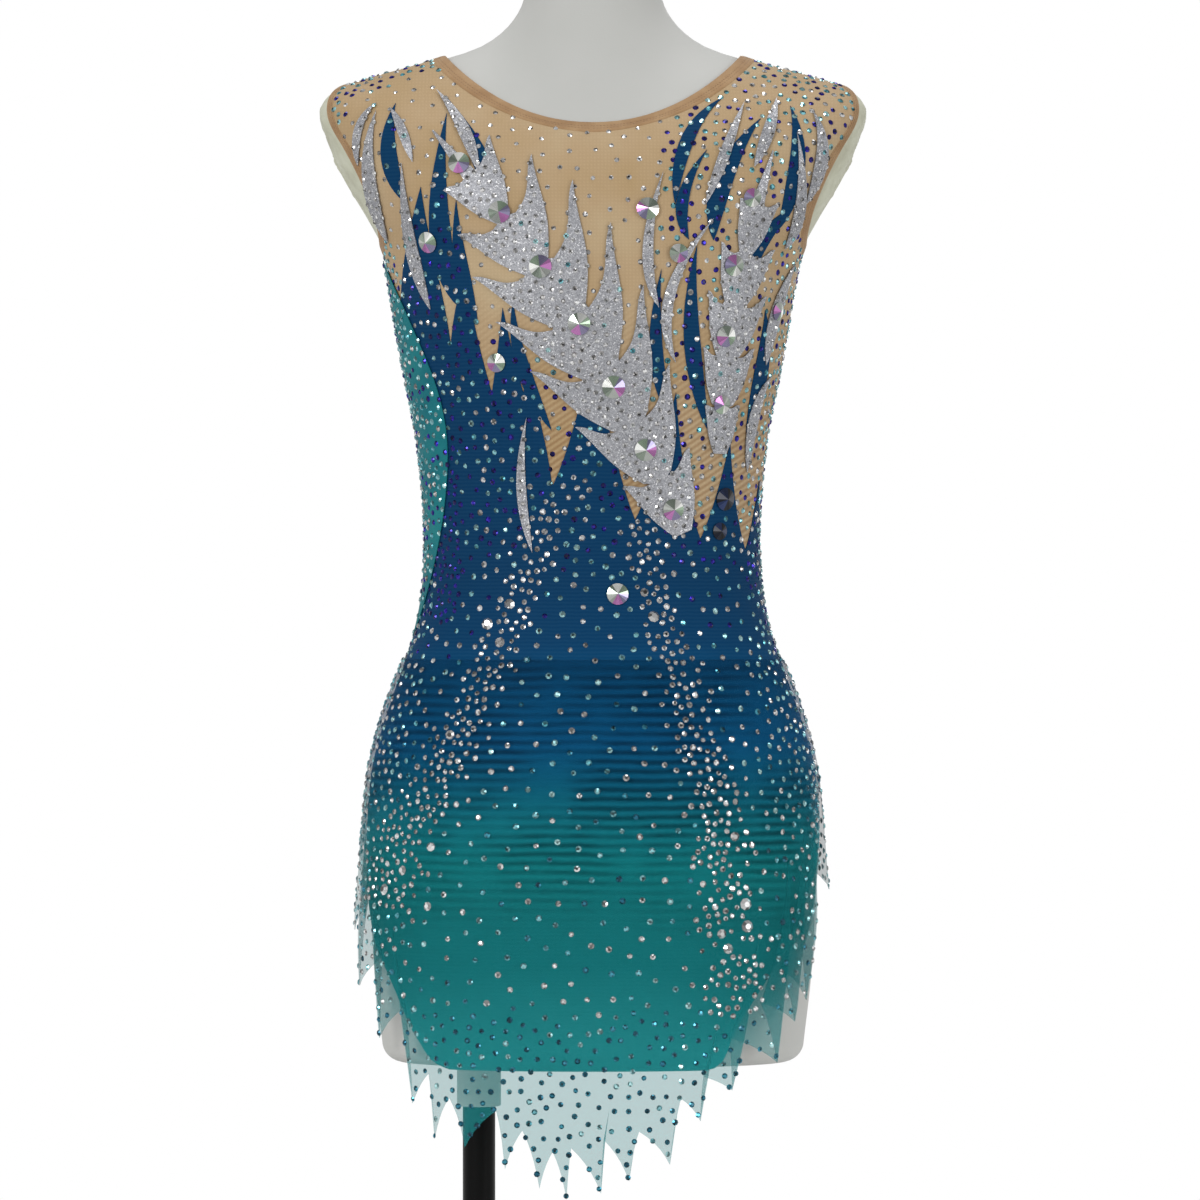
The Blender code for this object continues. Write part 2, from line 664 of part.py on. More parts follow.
def neck_binding(material):
    back_cells = len(crown_outline(TONGUES_BACK)) - 1
    front_cells = len(crown_outline(TONGUES_FRONT)) - 1
    turns = spread(-90.0, 90.0, back_cells) + spread(90.0, 270.0, front_cells)[1:-1]
    rows = []
    for width in (NECK_BINDING_WIDTH, 0.0):
        rows.append([(turn, neck_low_level(turn, width)) for turn in turns])
    patch = Patch()
    patch.add_grid(rows, closed=True)
    return cloth_wall("neck_binding", form_surface, patch, BINDING_LAYER, material)


def armhole_binding(name, side, material):
    cells = 2 * ARMHOLE_ROWS
    angles = [360.0 * column / cells for column in range(cells)]
    rows = [[armhole_place(angle, grow, side) for angle in angles] for grow in (0.0, 1.0)]
    patch = Patch()
    patch.add_grid(rows, closed=True)
    return cloth_wall(name, form_surface, patch, BINDING_LAYER, material)


def skirt_panel(name, hem, hem_end, front, material):
    """One layer of mesh from the seam to a hem of points; it leaves the side lines towards the hem"""
    notches = []
    tips = []
    for notch_across, notch_height, tip_across, tip_height in hem:
        notches.append(place_on_skirt(notch_across, notch_height, front))
        tips.append(place_on_skirt(tip_across, tip_height, front))
    notches.append(place_on_skirt(*hem_end, front))
    foot = [notches[0]]
    for start, end in zip(notches, notches[1:]):
        foot.append((blend(start[0], end[0], 0.5), blend(start[1], end[1], 0.5)))
        foot.append(end)
    reach = 90.0 - SEAM_HALF_GAP
    middle = 180.0 if front else 0.0
    heads = spread(middle - reach, middle + reach, len(foot) - 1)
    rows = []
    for row in range(SKIRT_ROWS + 1):
        share = (row / SKIRT_ROWS) ** SKIRT_ROW_SPACING
        rows.append([
            (blend(head, end[0], share ** 2), blend(SKIRT_SEAM, end[1], share))
            for head, end in zip(heads, foot)
        ])
    patch = Patch()
    marks = patch.add_grid(rows)
    for index, tip in enumerate(tips):
        patch.add_point(marks[-1][2 * index:2 * index + 3], (), tip)
    return cloth_wall(name, skirt_surface, patch, SKIRT_LAYER, material)


def spray_stem(spray, share):
    """Point on the stem's centre line, a quadratic curve, and the direction along it"""
    root, bend, top = Vector(spray["root"]), Vector(spray["bend"]), Vector(spray["top"])
    point = root * (1 - share) ** 2 + bend * 2 * share * (1 - share) + top * share ** 2
    along = (bend - root) * 2 * (1 - share) + (top - bend) * 2 * share
    return point, along.normalized()


def stem_half_width(spray, share):
    thin, thick = spray["half_widths"]
    swell = math.sin(math.pi * min(share * STEM_SWELL, 1.0))
    return blend(thin, thick, swell) * (1.0 - STEM_TAPER["loss"] * share ** STEM_TAPER["power"])


def foil_leaf(patch, spray, base_marks, base_shares, sign, length):
    """Pointed leaf on one edge of the stem, in rows that run along the stem's direction"""
    start = spray_stem(spray, base_shares[0])[0]
    end = spray_stem(spray, base_shares[2])[0]
    middle, along = spray_stem(spray, base_shares[1])
    outward = Vector((along.y, -along.x)) * sign
    lean = math.radians(spray["lean"])
    heading = along * math.cos(lean) + outward * math.sin(lean)
    base = middle + outward * stem_half_width(spray, base_shares[1])
    half_base = along * (0.5 * (end - start).length)
    rows = []
    for share, width in LEAF_OUTLINE:
        centre = base + heading * length * share
        rows.append([place_on_form(*(centre + half_base * width * side)) for side in (-1.0, 0.0, 1.0)])
    patch.add_point(base_marks, rows, place_on_form(*(base + heading * length)))


def foil_spray(name, spray, material):
    """Foil applique: a tapered stem with pointed leaves that lean towards its top"""
    leaf_count = len(spray["leaves_up"])
    cells = 2 * (leaf_count + 1)
    rows = []
    for cell in range(cells + 1):
        share = cell / cells
        point, along = spray_stem(spray, share)
        outward = Vector((along.y, -along.x)) * stem_half_width(spray, share)
        rows.append([place_on_form(*(point + outward * offset)) for offset in (-1.0, 0.0, 1.0)])
    patch = Patch()
    marks = patch.add_grid(rows)
    for sign, column, lengths in ((1.0, 2, spray["leaves_up"]), (-1.0, 0, spray["leaves_down"])):
        for leaf, length in enumerate(lengths):
            steps = [2 * leaf, 2 * leaf + 1, 2 * leaf + 2]
            base_marks = [marks[step][column] for step in steps]
            foil_leaf(patch, spray, base_marks, [step / cells for step in steps], sign, length)
    return cloth_wall(name, form_surface, patch, FOIL_LAYER, material)


def large_stone(name, across, height, diameter, rests_on, material):
    """Round stone with a flat foiled back, a thin girdle and facets that meet in a point"""
    turn, level = place_on_form(across, height)
    seat = STONE_SEATS[rests_on] + STONE_CLEARANCE
    point, round_body, up_body, outward = local_frame(form_surface, turn, level)
    centre = point + outward * seat
    radius = 0.5 * diameter
    mesh = bmesh.new()
    rings = []
    for radius_share, lift in ((STONE_BACK_SHARE, 0.0), (1.0, STONE_GIRDLE)):
        ring = []
        for side in range(STONE_SIDES):
            angle = 2.0 * math.pi * side / STONE_SIDES
            spoke = round_body * math.cos(angle) + up_body * math.sin(angle)
            ring.append(mesh.verts.new(in_metres(centre + spoke * radius * radius_share + outward * lift)))
        rings.append(ring)
    top = mesh.verts.new(in_metres(centre + outward * diameter * STONE_HEIGHT_SHARE))
    mesh.faces.new(list(reversed(rings[0])))
    for side in range(STONE_SIDES):
        after = (side + 1) % STONE_SIDES
        mesh.faces.new((rings[0][side], rings[0][after], rings[1][after], rings[1][side]))
        mesh.faces.new((rings[1][side], rings[1][after], top))
    return finish_object(name, mesh, material)


def turned(name, profile, across, sides, material):
    """Solid of revolution about a vertical line: profile as radius and height above the floor"""
    mesh = bmesh.new()
    rings = []
    for radius, height in profile:
        ring = []
        for side in range(sides):
            angle = 2.0 * math.pi * side / sides
            place = (across + radius * math.cos(angle), radius * math.sin(angle), height - FORM_UNDERSIDE)
            ring.append(mesh.verts.new(in_metres(place)))
        rings.append(ring)
    for lower, upper in zip(rings, rings[1:]):
        for side in range(sides):
            after = (side + 1) % sides
            mesh.faces.new((lower[side], lower[after], upper[after], upper[side]))
    if profile[0] == profile[-1]:
        bmesh.ops.remove_doubles(mesh, verts=mesh.verts, dist=MERGE_DISTANCE)
    else:
        mesh.faces.new(list(reversed(rings[0])))
        mesh.faces.new(rings[-1])
    return finish_object(name, mesh, material)


def stand(socket_material, metal_material):
    """Socket under the form, pole, collar and round base; the pole stands off the centre line"""
    socket_low = FORM_UNDERSIDE - PIECE_GAP - SOCKET_LENGTH
    turned(
        "form_socket",
        ((SOCKET_RADIUS - SOCKET_CHAMFER, socket_low), (SOCKET_RADIUS, socket_low + SOCKET_CHAMFER),
         (SOCKET_RADIUS, FORM_UNDERSIDE - PIECE_GAP)),
        POLE_ACROSS, POLE_SIDES, socket_material,
    )
    turned(
        "stand_pole",
        ((POLE_RADIUS, BASE_THICKNESS + PIECE_GAP), (POLE_RADIUS, socket_low - PIECE_GAP)),
        POLE_ACROSS, POLE_SIDES, metal_material,
    )
    bore = POLE_RADIUS + PIECE_GAP
    low = BASE_THICKNESS + PIECE_GAP
    high = low + COLLAR_HEIGHT
    turned(
        "stand_collar",
        ((bore, low), (COLLAR_RADIUS, low), (COLLAR_RADIUS, high - COLLAR_CHAMFER),
         (COLLAR_RADIUS - COLLAR_CHAMFER, high), (bore, high), (bore, low)),
        POLE_ACROSS, POLE_SIDES, metal_material,
    )
    rim = [(BASE_RADIUS - BASE_FOOT_CHAMFER, 0.0), (BASE_RADIUS, BASE_FOOT_CHAMFER)]
    for angle in spread(0.0, 0.5 * math.pi, BASE_ROUND_STEPS):
        reach = BASE_RADIUS - BASE_TOP_ROUND * (1.0 - math.cos(angle))
        rim.append((reach, BASE_THICKNESS - BASE_TOP_ROUND * (1.0 - math.sin(angle))))
    turned("stand_base", rim, 0.0, BASE_SIDES, metal_material)


def build():
    clear_scene()
    form_cover = surface_material("form_cover", (0.53, 0.53, 0.54), 0.75)
    nude_mesh = surface_material("nude_mesh", (0.56, 0.38, 0.20), 0.8)
    nude_binding = surface_material("nude_binding", (0.50, 0.30, 0.15), 0.8)
    blue_lycra = surface_material("blue_lycra", (0.004, 0.08, 0.24), 0.55)
    teal_mesh = surface_material("teal_mesh", (0.01, 0.22, 0.22), 0.7)
    silver_foil = surface_material("silver_foil", (0.45, 0.45, 0.50), 0.4, 0.7)
    clear_crystal = surface_material("clear_crystal", (0.80, 0.78, 0.80), 0.08, 0.2)
    dark_crystal = surface_material("dark_crystal", (0.01, 0.02, 0.06), 0.08, 0.2)
    black_steel = surface_material("black_steel", (0.012, 0.012, 0.013), 0.4, 0.6)

    torso(form_cover)
    stand(form_cover, black_steel)
    yoke_panel("yoke_back", TONGUES_BACK, False, nude_mesh)
    yoke_panel("yoke_front", TONGUES_FRONT, True, nude_mesh)
    neck_binding(nude_binding)
    armhole_binding("armhole_binding_right", 1.0, nude_binding)
    armhole_binding("armhole_binding_left", -1.0, nude_binding)
    body_panel("body_back", TONGUES_BACK, (LEG_BACK_LEFT, LEG_BACK_RIGHT), False, blue_lycra)
    body_panel("body_front", TONGUES_FRONT, (LEG_FRONT, LEG_FRONT), True, blue_lycra)
    gusset(blue_lycra)
    skirt_panel("skirt_back", HEM_BACK, HEM_BACK_END, False, teal_mesh)
    skirt_panel("skirt_front", HEM_FRONT, HEM_FRONT_END, True, teal_mesh)
    for name, spray in FOIL_SPRAYS.items():
        foil_spray(name, spray, silver_foil)
    for index, row in enumerate(LARGE_STONES, 1):
        stone = dict(zip(STONE_COLUMNS, row))
        material = dark_crystal if stone.pop("colour") == "dark" else clear_crystal
        large_stone(f"large_stone_{index:02d}", material=material, **stone)


build()
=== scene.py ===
"""Rhythmic gymnastics leotard, seen from the back, on a limbless dress form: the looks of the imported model.

Lengths are in millimetres from the middle of the form's underside and turn into metres where a mesh is
made. A place on the body is its turn, in degrees from the centre of the back over the right side to the
centre of the front, and its level, the height at the side.
"""

import math

import bpy
import numpy as np
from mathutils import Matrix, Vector
from mathutils.bvhtree import BVHTree
from mathutils.geometry import delaunay_2d_cdt


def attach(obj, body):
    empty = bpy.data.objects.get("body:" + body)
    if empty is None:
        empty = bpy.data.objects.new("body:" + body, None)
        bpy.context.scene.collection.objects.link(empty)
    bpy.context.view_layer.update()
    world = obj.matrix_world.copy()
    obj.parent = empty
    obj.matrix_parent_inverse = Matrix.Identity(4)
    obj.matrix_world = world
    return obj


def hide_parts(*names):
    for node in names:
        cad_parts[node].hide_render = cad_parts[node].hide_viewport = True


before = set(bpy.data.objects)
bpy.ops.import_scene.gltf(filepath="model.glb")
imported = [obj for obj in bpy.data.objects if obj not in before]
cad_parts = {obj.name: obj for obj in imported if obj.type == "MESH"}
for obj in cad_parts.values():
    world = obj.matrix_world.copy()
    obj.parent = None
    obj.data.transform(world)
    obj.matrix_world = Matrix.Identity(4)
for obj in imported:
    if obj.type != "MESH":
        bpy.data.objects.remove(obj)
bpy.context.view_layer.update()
bpy.context.scene.view_settings.view_transform = "Standard"


# Camera
# It stands level behind the garment, far enough away that depth hardly changes widths, and it takes in
# as much at the middle of the body as the photograph does.
CAMERA_DISTANCE = 5.0
CAMERA_ACROSS = 0.00525
CAMERA_HEIGHT = 0.625
VIEW_WIDTH = 0.900
SENSOR_WIDTH = 36.0

camera_data = bpy.data.cameras.new("camera")
camera_data.sensor_width = SENSOR_WIDTH
camera_data.lens = SENSOR_WIDTH * CAMERA_DISTANCE / VIEW_WIDTH
camera = bpy.data.objects.new("camera", camera_data)
camera.location = (CAMERA_ACROSS, -CAMERA_DISTANCE, CAMERA_HEIGHT)
camera.rotation_euler = (math.radians(90), 0, 0)
bpy.context.scene.collection.objects.link(camera)
bpy.context.scene.camera = camera


# Dress form
# A limbless torso of moulded foam in a plain grey-white jersey cover, made in one piece with its neck.
# Every cloth follows its shape, so the surface that they are laid on stands here too.
MM = 0.001
FORM_UNDERSIDE = 280.0      # height of the form's flat underside above the floor
EDGE_ROUNDING = 15.0
NECK_TOP = 815.0
NECK_ROUNDING = 8.0
CENTRE_DIP_POWER = 1.8      # how a level falls from the shoulder to the centre line
PROBE_STEP = 0.25
FORM_SIDES = 144
FORM_ROW_SPACING = 5.0

# Level, height at the centre of the back and of the front, half width, depth of the back and of the
# front, and fullness of each section
FORM_SECTIONS = np.array((
    (15, 15, 15, 158.0, 103.0, 96.0, 2.30),
    (63, 63, 63, 163.5, 109.0, 98.0, 2.30),
    (105, 105, 105, 166.0, 113.0, 99.0, 2.28),
    (150, 150, 150, 167.0, 116.0, 100.0, 2.25),
    (190, 190, 190, 166.0, 116.5, 100.5, 2.25),
    (219, 219, 219, 163.0, 114.0, 100.0, 2.22),
    (247, 247, 247, 156.0, 109.0, 98.0, 2.20),
    (271, 271, 271, 148.0, 103.0, 96.0, 2.20),
    (300, 300, 300, 138.0, 96.0, 93.0, 2.18),
    (330, 330, 330, 128.5, 90.0, 90.5, 2.16),
    (360, 360, 360, 124.0, 86.5, 89.0, 2.15),
    (395, 395, 395, 123.0, 86.0, 89.5, 2.15),
    (430, 430, 430, 125.0, 89.0, 93.0, 2.15),
    (470, 470, 470, 129.5, 94.0, 100.0, 2.15),
    (513, 513, 513, 138.0, 100.0, 106.5, 2.15),
    (545, 545, 545, 144.0, 103.5, 110.5, 2.15),
    (575, 575, 575, 149.0, 105.5, 112.0, 2.15),
    (607, 607, 607, 156.0, 106.0, 110.0, 2.18),
    (634, 622, 618, 170.0, 105.0, 105.5, 2.22),
    (660, 637, 630, 184.5, 103.0, 99.0, 2.25),
    (688, 653, 641, 197.5, 99.0, 94.0, 2.28),
    (707, 665, 649, 204.0, 95.0, 90.0, 2.28),
    (719, 674, 655, 200.5, 91.0, 87.0, 2.25),
    (727, 681, 660, 190.0, 87.0, 84.5, 2.22),
    (735, 687, 664, 166.0, 82.0, 82.0, 2.20),
    (743, 692, 668, 137.0, 77.0, 79.0, 2.15),
    (751, 697, 673, 110.0, 72.0, 76.0, 2.10),
    (758, 714, 694, 88.0, 62.0, 68.0, 2.05),
    (769, 740, 721, 70.0, 55.0, 60.0, 2.00),
    (783, 768, 753, 57.5, 51.0, 54.0, 2.00),
    (797, 793, 783, 51.5, 50.0, 51.5, 2.00),
    (815, 815, 815, 50.0, 50.0, 50.0, 2.00),
))


def between_sections(sections, level):
    """Smooth values of every column of a section table at each of the levels"""
    levels = sections[:, 0]
    level = np.clip(np.asarray(level, dtype=float), levels[0], levels[-1])
    low = np.clip(np.searchsorted(levels, level) - 1, 0, len(levels) - 2)
    high = low + 1
    before = np.maximum(low - 1, 0)
    after = np.minimum(high + 1, len(levels) - 1)
    span = (levels[high] - levels[low])[..., None]
    share = (level - levels[low])[..., None] / span
    slope_low = (sections[high] - sections[before]) * span / (levels[high] - levels[before])[..., None]
    slope_high = (sections[after] - sections[low]) * span / (levels[after] - levels[low])[..., None]
    values = sections[low] * (2 * share ** 3 - 3 * share ** 2 + 1)
    values += slope_low * (share ** 3 - 2 * share ** 2 + share)
    values += sections[high] * (3 * share ** 2 - 2 * share ** 3)
    values += slope_high * (share ** 3 - share ** 2)
    values[..., 0] = level
    return values


def signed_power(value, exponent):
    return np.sign(value) * np.abs(value) ** exponent


def form_surface(turn, level):
    """Points on the bare form at each turn and level"""
    turn, level = np.broadcast_arrays(np.asarray(turn, dtype=float), np.asarray(level, dtype=float))
    side, back_height, front_height, half_width, back, front, fullness = np.moveaxis(
        between_sections(FORM_SECTIONS, level), -1, 0)
    foot = level < EDGE_ROUNDING
    crown = level > NECK_TOP
    foot_slope = np.radians(90.0 * np.clip(level / EDGE_ROUNDING, -0.1, 1.0))
    crown_slope = np.radians(90.0 * np.clip((level - NECK_TOP) / NECK_ROUNDING, 0.0, 1.0))
    inset = np.where(foot, EDGE_ROUNDING * (1.0 - np.sin(foot_slope)), 0.0)
    inset = np.where(crown, NECK_ROUNDING * (1.0 - np.cos(crown_slope)), inset)
    side = np.where(foot, EDGE_ROUNDING * (1.0 - np.cos(foot_slope)), side)
    side = np.where(crown, NECK_TOP + NECK_ROUNDING * np.sin(crown_slope), side)
    sine, cosine = np.sin(np.radians(turn)), np.cos(np.radians(turn))
    centre = np.where(cosine > 0, back_height, front_height)
    centre = np.where(foot | crown, side, centre)
    depth = np.where(cosine > 0, back, front)
    power = 2.0 / fullness
    across = (half_width - inset) * signed_power(sine, power)
    along = -(depth - inset) * signed_power(cosine, power)
    return np.stack((across, along, side + (centre - side) * np.abs(cosine) ** CENTRE_DIP_POWER), axis=-1)


def laid_on(surface, turn, level, distance):
    """Points at a distance straight out from a surface, and the direction out at each"""
    turn, level = np.broadcast_arrays(np.asarray(turn, dtype=float), np.asarray(level, dtype=float))
    round_body = surface(turn + PROBE_STEP, level) - surface(turn - PROBE_STEP, level)
    up_body = surface(turn, level + PROBE_STEP) - surface(turn, level - PROBE_STEP)
    outward = np.cross(round_body, up_body)
    outward /= np.linalg.norm(outward, axis=-1, keepdims=True)
    return surface(turn, level) + outward * np.asarray(distance)[..., None], outward


def grid_faces(rows, columns, closed=False, first=0, flipped=False):
    """Four-sided faces between neighbouring rows and columns of points"""
    marks = first + np.arange(rows * columns).reshape(rows, columns)
    if closed:
        marks = np.hstack((marks, marks[:, :1]))
    corners = (marks[:-1, :-1], marks[:-1, 1:], marks[1:, 1:], marks[1:, :-1])
    if flipped:
        corners = corners[::-1]
    return np.stack([corner.ravel() for corner in corners], axis=1).tolist()


def make_piece(name, points, faces, material, smooth_below=40.0):
    """Named mesh piece in its material, riding on the one body"""
    places = (np.asarray(points).reshape(-1, 3) + (0.0, 0.0, FORM_UNDERSIDE)) * MM
    data = bpy.data.meshes.new(name)
    data.from_pydata(places.tolist(), [], faces)
    data.materials.append(material)
    data.shade_smooth()
    data.set_sharp_from_angle(angle=math.radians(smooth_below))
    piece = bpy.data.objects.new(name, data)
    bpy.context.scene.collection.objects.link(piece)
    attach(piece, "root")
    return piece


def linear(code):
    """Hex colour as it looks on a screen, turned to the linear values that a shader reads"""
    parts = [int(code[place:place + 2], 16) / 255 for place in (1, 3, 5)]
    return [part / 12.92 if part <= 0.04045 else ((part + 0.055) / 1.055) ** 2.4 for part in parts] + [1.0]


def add(tree, kind, settings, links=None):
    """Shader node with its properties, socket values and colour stops set, and sockets linked into it"""
    node = tree.nodes.new(kind)
    for key, value in settings.items():
        if key == "stops":
            elements = node.color_ramp.elements
            while len(elements) < len(value):
                elements.new(0.5)
            for element, (place, code) in zip(elements, value):
                element.position = place
                element.color = linear(code)
        elif isinstance(key, str) and hasattr(node, key):
            setattr(node, key, value)
        else:
            node.inputs[key].default_value = value
    for key, socket in (links or {}).items():
        tree.links.new(socket, node.inputs[key])
    return node


def start_material(name, settings):
    """Material with its main shader's sockets set, its tree, that shader and the places on the object"""
    material = bpy.data.materials.new(name)
    material.use_nodes = True
    tree = material.node_tree
    shader = tree.nodes["Principled BSDF"]
    for key, value in settings.items():
        shader.inputs[key].default_value = value
    return material, tree, shader, add(tree, "ShaderNodeTexCoord", {}).outputs["Object"]


# Cotton jersey stretched over foam: matt, with a fine knit that only shows as softness, and faint
# greyer patches where hands have rubbed it
form_jersey, tree, shader, place = start_material(
    "form_jersey", {"Roughness": 0.85, "IOR": 1.46, "Sheen Weight": 0.1})
patches = add(tree, "ShaderNodeTexNoise", {"Scale": 9.0, "Detail": 3.0}, {"Vector": place}).outputs["Fac"]
tree.links.new(add(tree, "ShaderNodeValToRGB", {"stops": ((0.3, "#BDBEBA"), (0.7, "#C5C5C2"))},
                   {"Fac": patches}).outputs["Color"], shader.inputs["Base Color"])
knit = add(tree, "ShaderNodeTexNoise", {"Scale": 900.0, "Detail": 2.0}, {"Vector": place}).outputs["Fac"]
knit_bump = add(tree, "ShaderNodeBump", {"Strength": 0.15, "Distance": 0.0004}, {"Height": knit})
tree.links.new(knit_bump.outputs["Normal"], shader.inputs["Normal"])

form_levels = np.concatenate((
    np.linspace(0.0, EDGE_ROUNDING, 9),
    np.arange(EDGE_ROUNDING + FORM_ROW_SPACING, NECK_TOP, FORM_ROW_SPACING),
    np.linspace(NECK_TOP, NECK_TOP + NECK_ROUNDING, 7),
))
form_turns = np.arange(FORM_SIDES) * 360.0 / FORM_SIDES
form_points = form_surface(form_turns[None, :], form_levels[:, None])
form_faces = grid_faces(len(form_levels), FORM_SIDES, closed=True)
form_faces.append(list(range(FORM_SIDES))[::-1])
form_faces.append(list(range(form_points.size // 3 - FORM_SIDES, form_points.size // 3)))
form_torso = make_piece("form_torso_cover", form_points, form_faces, form_jersey)
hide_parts("form_torso")


# Stand
# A cover-coloured socket under the form takes a tube of black painted steel, which a turned collar
# clamps in a round steel base. The tube stands off the centre line, as in the photograph.
POLE_ACROSS = -85.5
POLE_RADIUS = 12.2
SOCKET_RADIUS = 16.5
SOCKET_LENGTH = 34.0
BASE_RADIUS = 165.0
BASE_THICKNESS = 12.0
COLLAR_RADIUS = 21.0
COLLAR_HEIGHT = 22.0
FIT_GAP = 0.3
STAND_SIDES = 96
EDGE_STEPS = 5


def rounded_profile(corners, radii):
    """Profile of radius and height with each inner corner rounded off"""
    profile = [corners[0]]
    for before, corner, after, radius in zip(corners, corners[1:], corners[2:], radii):
        start = Vector(corner) + (Vector(before) - Vector(corner)).normalized() * radius
        end = Vector(corner) + (Vector(after) - Vector(corner)).normalized() * radius
        for step in range(EDGE_STEPS + 1):
            share = step / EDGE_STEPS
            spot = start * (1 - share) ** 2 + Vector(corner) * 2 * share * (1 - share) + end * share ** 2
            profile.append(tuple(spot))
    return profile + [corners[-1]]


def turned_piece(name, profile, across, material, node):
    """Piece turned on a lathe about a vertical line, closed at both ends of its profile"""
    angles = np.arange(STAND_SIDES) * 2.0 * math.pi / STAND_SIDES
    radius, height = np.array(profile).T
    points = np.stack((
        across + radius[:, None] * np.cos(angles), radius[:, None] * np.sin(angles),
        np.repeat(height[:, None] - FORM_UNDERSIDE, STAND_SIDES, axis=1)), axis=-1)
    faces = grid_faces(len(profile), STAND_SIDES, closed=True)
    faces.append(list(range(STAND_SIDES))[::-1])
    faces.append(list(range(points.size // 3 - STAND_SIDES, points.size // 3)))
    piece = make_piece(name, points, faces, material)
    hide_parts(node)
    return piece


# Powder-coated steel: near black, satin, with the slight orange peel of baked powder and a few dull scuffs
black_powder_coat, tree, shader, place = start_material(
    "black_powder_coat", {"Base Color": linear("#060606"), "IOR": 1.5, "Specular IOR Level": 0.1})
scuffs = add(tree, "ShaderNodeTexNoise", {"Scale": 14.0, "Detail": 5.0}, {"Vector": place}).outputs["Fac"]
dullness = add(tree, "ShaderNodeMapRange", {"From Min": 0.35, "From Max": 0.7, "To Min": 0.34, "To Max": 0.5},
               {"Value": scuffs})
tree.links.new(dullness.outputs["Result"], shader.inputs["Roughness"])
peel = add(tree, "ShaderNodeTexNoise", {"Scale": 450.0, "Detail": 1.0}, {"Vector": place}).outputs["Fac"]
peel_bump = add(tree, "ShaderNodeBump", {"Strength": 0.12, "Distance": 0.0003}, {"Height": peel})
tree.links.new(peel_bump.outputs["Normal"], shader.inputs["Normal"])

socket_low = FORM_UNDERSIDE - FIT_GAP - SOCKET_LENGTH
pole_low = BASE_THICKNESS + FIT_GAP
turned_piece("form_socket_sleeve", rounded_profile(
    ((0.5, socket_low), (SOCKET_RADIUS, socket_low), (SOCKET_RADIUS, FORM_UNDERSIDE - FIT_GAP)),
    (1.5,)), POLE_ACROSS, form_jersey, "form_socket")
turned_piece("stand_tube", rounded_profile(
    ((0.5, pole_low), (POLE_RADIUS, pole_low),
     (POLE_RADIUS, socket_low - FIT_GAP), (0.5, socket_low - FIT_GAP)),
    (0.6, 0.6)), POLE_ACROSS, black_powder_coat, "stand_pole")
turned_piece("stand_clamp_collar", rounded_profile(
    ((POLE_RADIUS + FIT_GAP, pole_low), (COLLAR_RADIUS, pole_low), (COLLAR_RADIUS, pole_low + COLLAR_HEIGHT),
     (POLE_RADIUS + FIT_GAP, pole_low + COLLAR_HEIGHT)), (0.8, 3.0)),
    POLE_ACROSS, black_powder_coat, "stand_collar")
turned_piece("stand_round_base", rounded_profile(
    ((0.5, 0.0), (BASE_RADIUS, 0.0), (BASE_RADIUS, BASE_THICKNESS), (0.5, BASE_THICKNESS)),
    (1.0, 5.0)), 0.0, black_powder_coat, "stand_base")


# Shoulder caps
# Pale cotton caps close the form where arms would start. They are cut from thin lining, pulled over the
# foam and tacked under the armholes, so they crease finely and carry small marks of wear.
CAP_LAYER = (0.2, 0.8)
CAP_SIDES = 96
CAP_ROWS = 26
CAP_REACH = 1.6             # how far the cap runs under the cloth, in widths of the armhole binding
MM_PER_DEGREE = 2.0         # about the length round the body of one degree of turn
ARMHOLE_LOW = 612.0
ARMHOLE_TOP = 727.0
ARMHOLE_CUT_BACK = 24.0
ARMHOLE_CUT_FRONT = 29.0
ARMHOLE_BINDING = {"low": 9.0, "top": 3.0, "turn": 5.5}


def armhole_place(angle, grow, side):
    """Spots on ovals round the armhole, which grow by whole widths of its binding; -1 closes on its middle"""
    middle = 0.5 * (ARMHOLE_LOW + ARMHOLE_TOP)
    sine, cosine = np.sin(np.radians(angle)), np.cos(np.radians(angle))
    closing = np.clip(1.0 + grow, 0.0, 1.0)
    grow = np.maximum(grow, 0.0)
    upper = ARMHOLE_TOP - middle + ARMHOLE_BINDING["top"] * grow
    lower = middle - ARMHOLE_LOW + ARMHOLE_BINDING["low"] * grow
    level = middle + np.where(sine > 0, upper, lower) * sine * closing
    cut = np.where(cosine > 0, ARMHOLE_CUT_BACK, ARMHOLE_CUT_FRONT)
    turn = 90.0 - (cut + ARMHOLE_BINDING["turn"] * grow) * cosine * closing
    return side * turn, level


def crease_relief(turn, level, creases):
    """Height at each place of soft uneven ridges, or of troughs where it is negative. A crease runs from one
    turn and level to another, with a width and a height, wanders a little and fades at both ends."""
    relief = np.zeros(np.broadcast(turn, level).shape)
    for turn_0, level_0, turn_1, level_1, width, height in creases:
        run = np.array(((turn_1 - turn_0) * MM_PER_DEGREE, level_1 - level_0))
        length = np.hypot(*run)
        across, up = (turn - turn_0) * MM_PER_DEGREE, level - level_0
        along = (across * run[0] + up * run[1]) / length ** 2
        off = (across * run[1] - up * run[0]) / length
        fade = np.clip(3.0 * np.minimum(along, 1.0 - along), 0.0, 1.0)
        fade = fade * fade * (3.0 - 2.0 * fade) * (1.0 + 0.3 * np.sin(9.0 * along + turn_0))
        wander = 0.5 * width * np.sin(5.0 * along + level_0)
        relief += height * fade * np.exp(-((off - wander) / width) ** 2)
    return relief


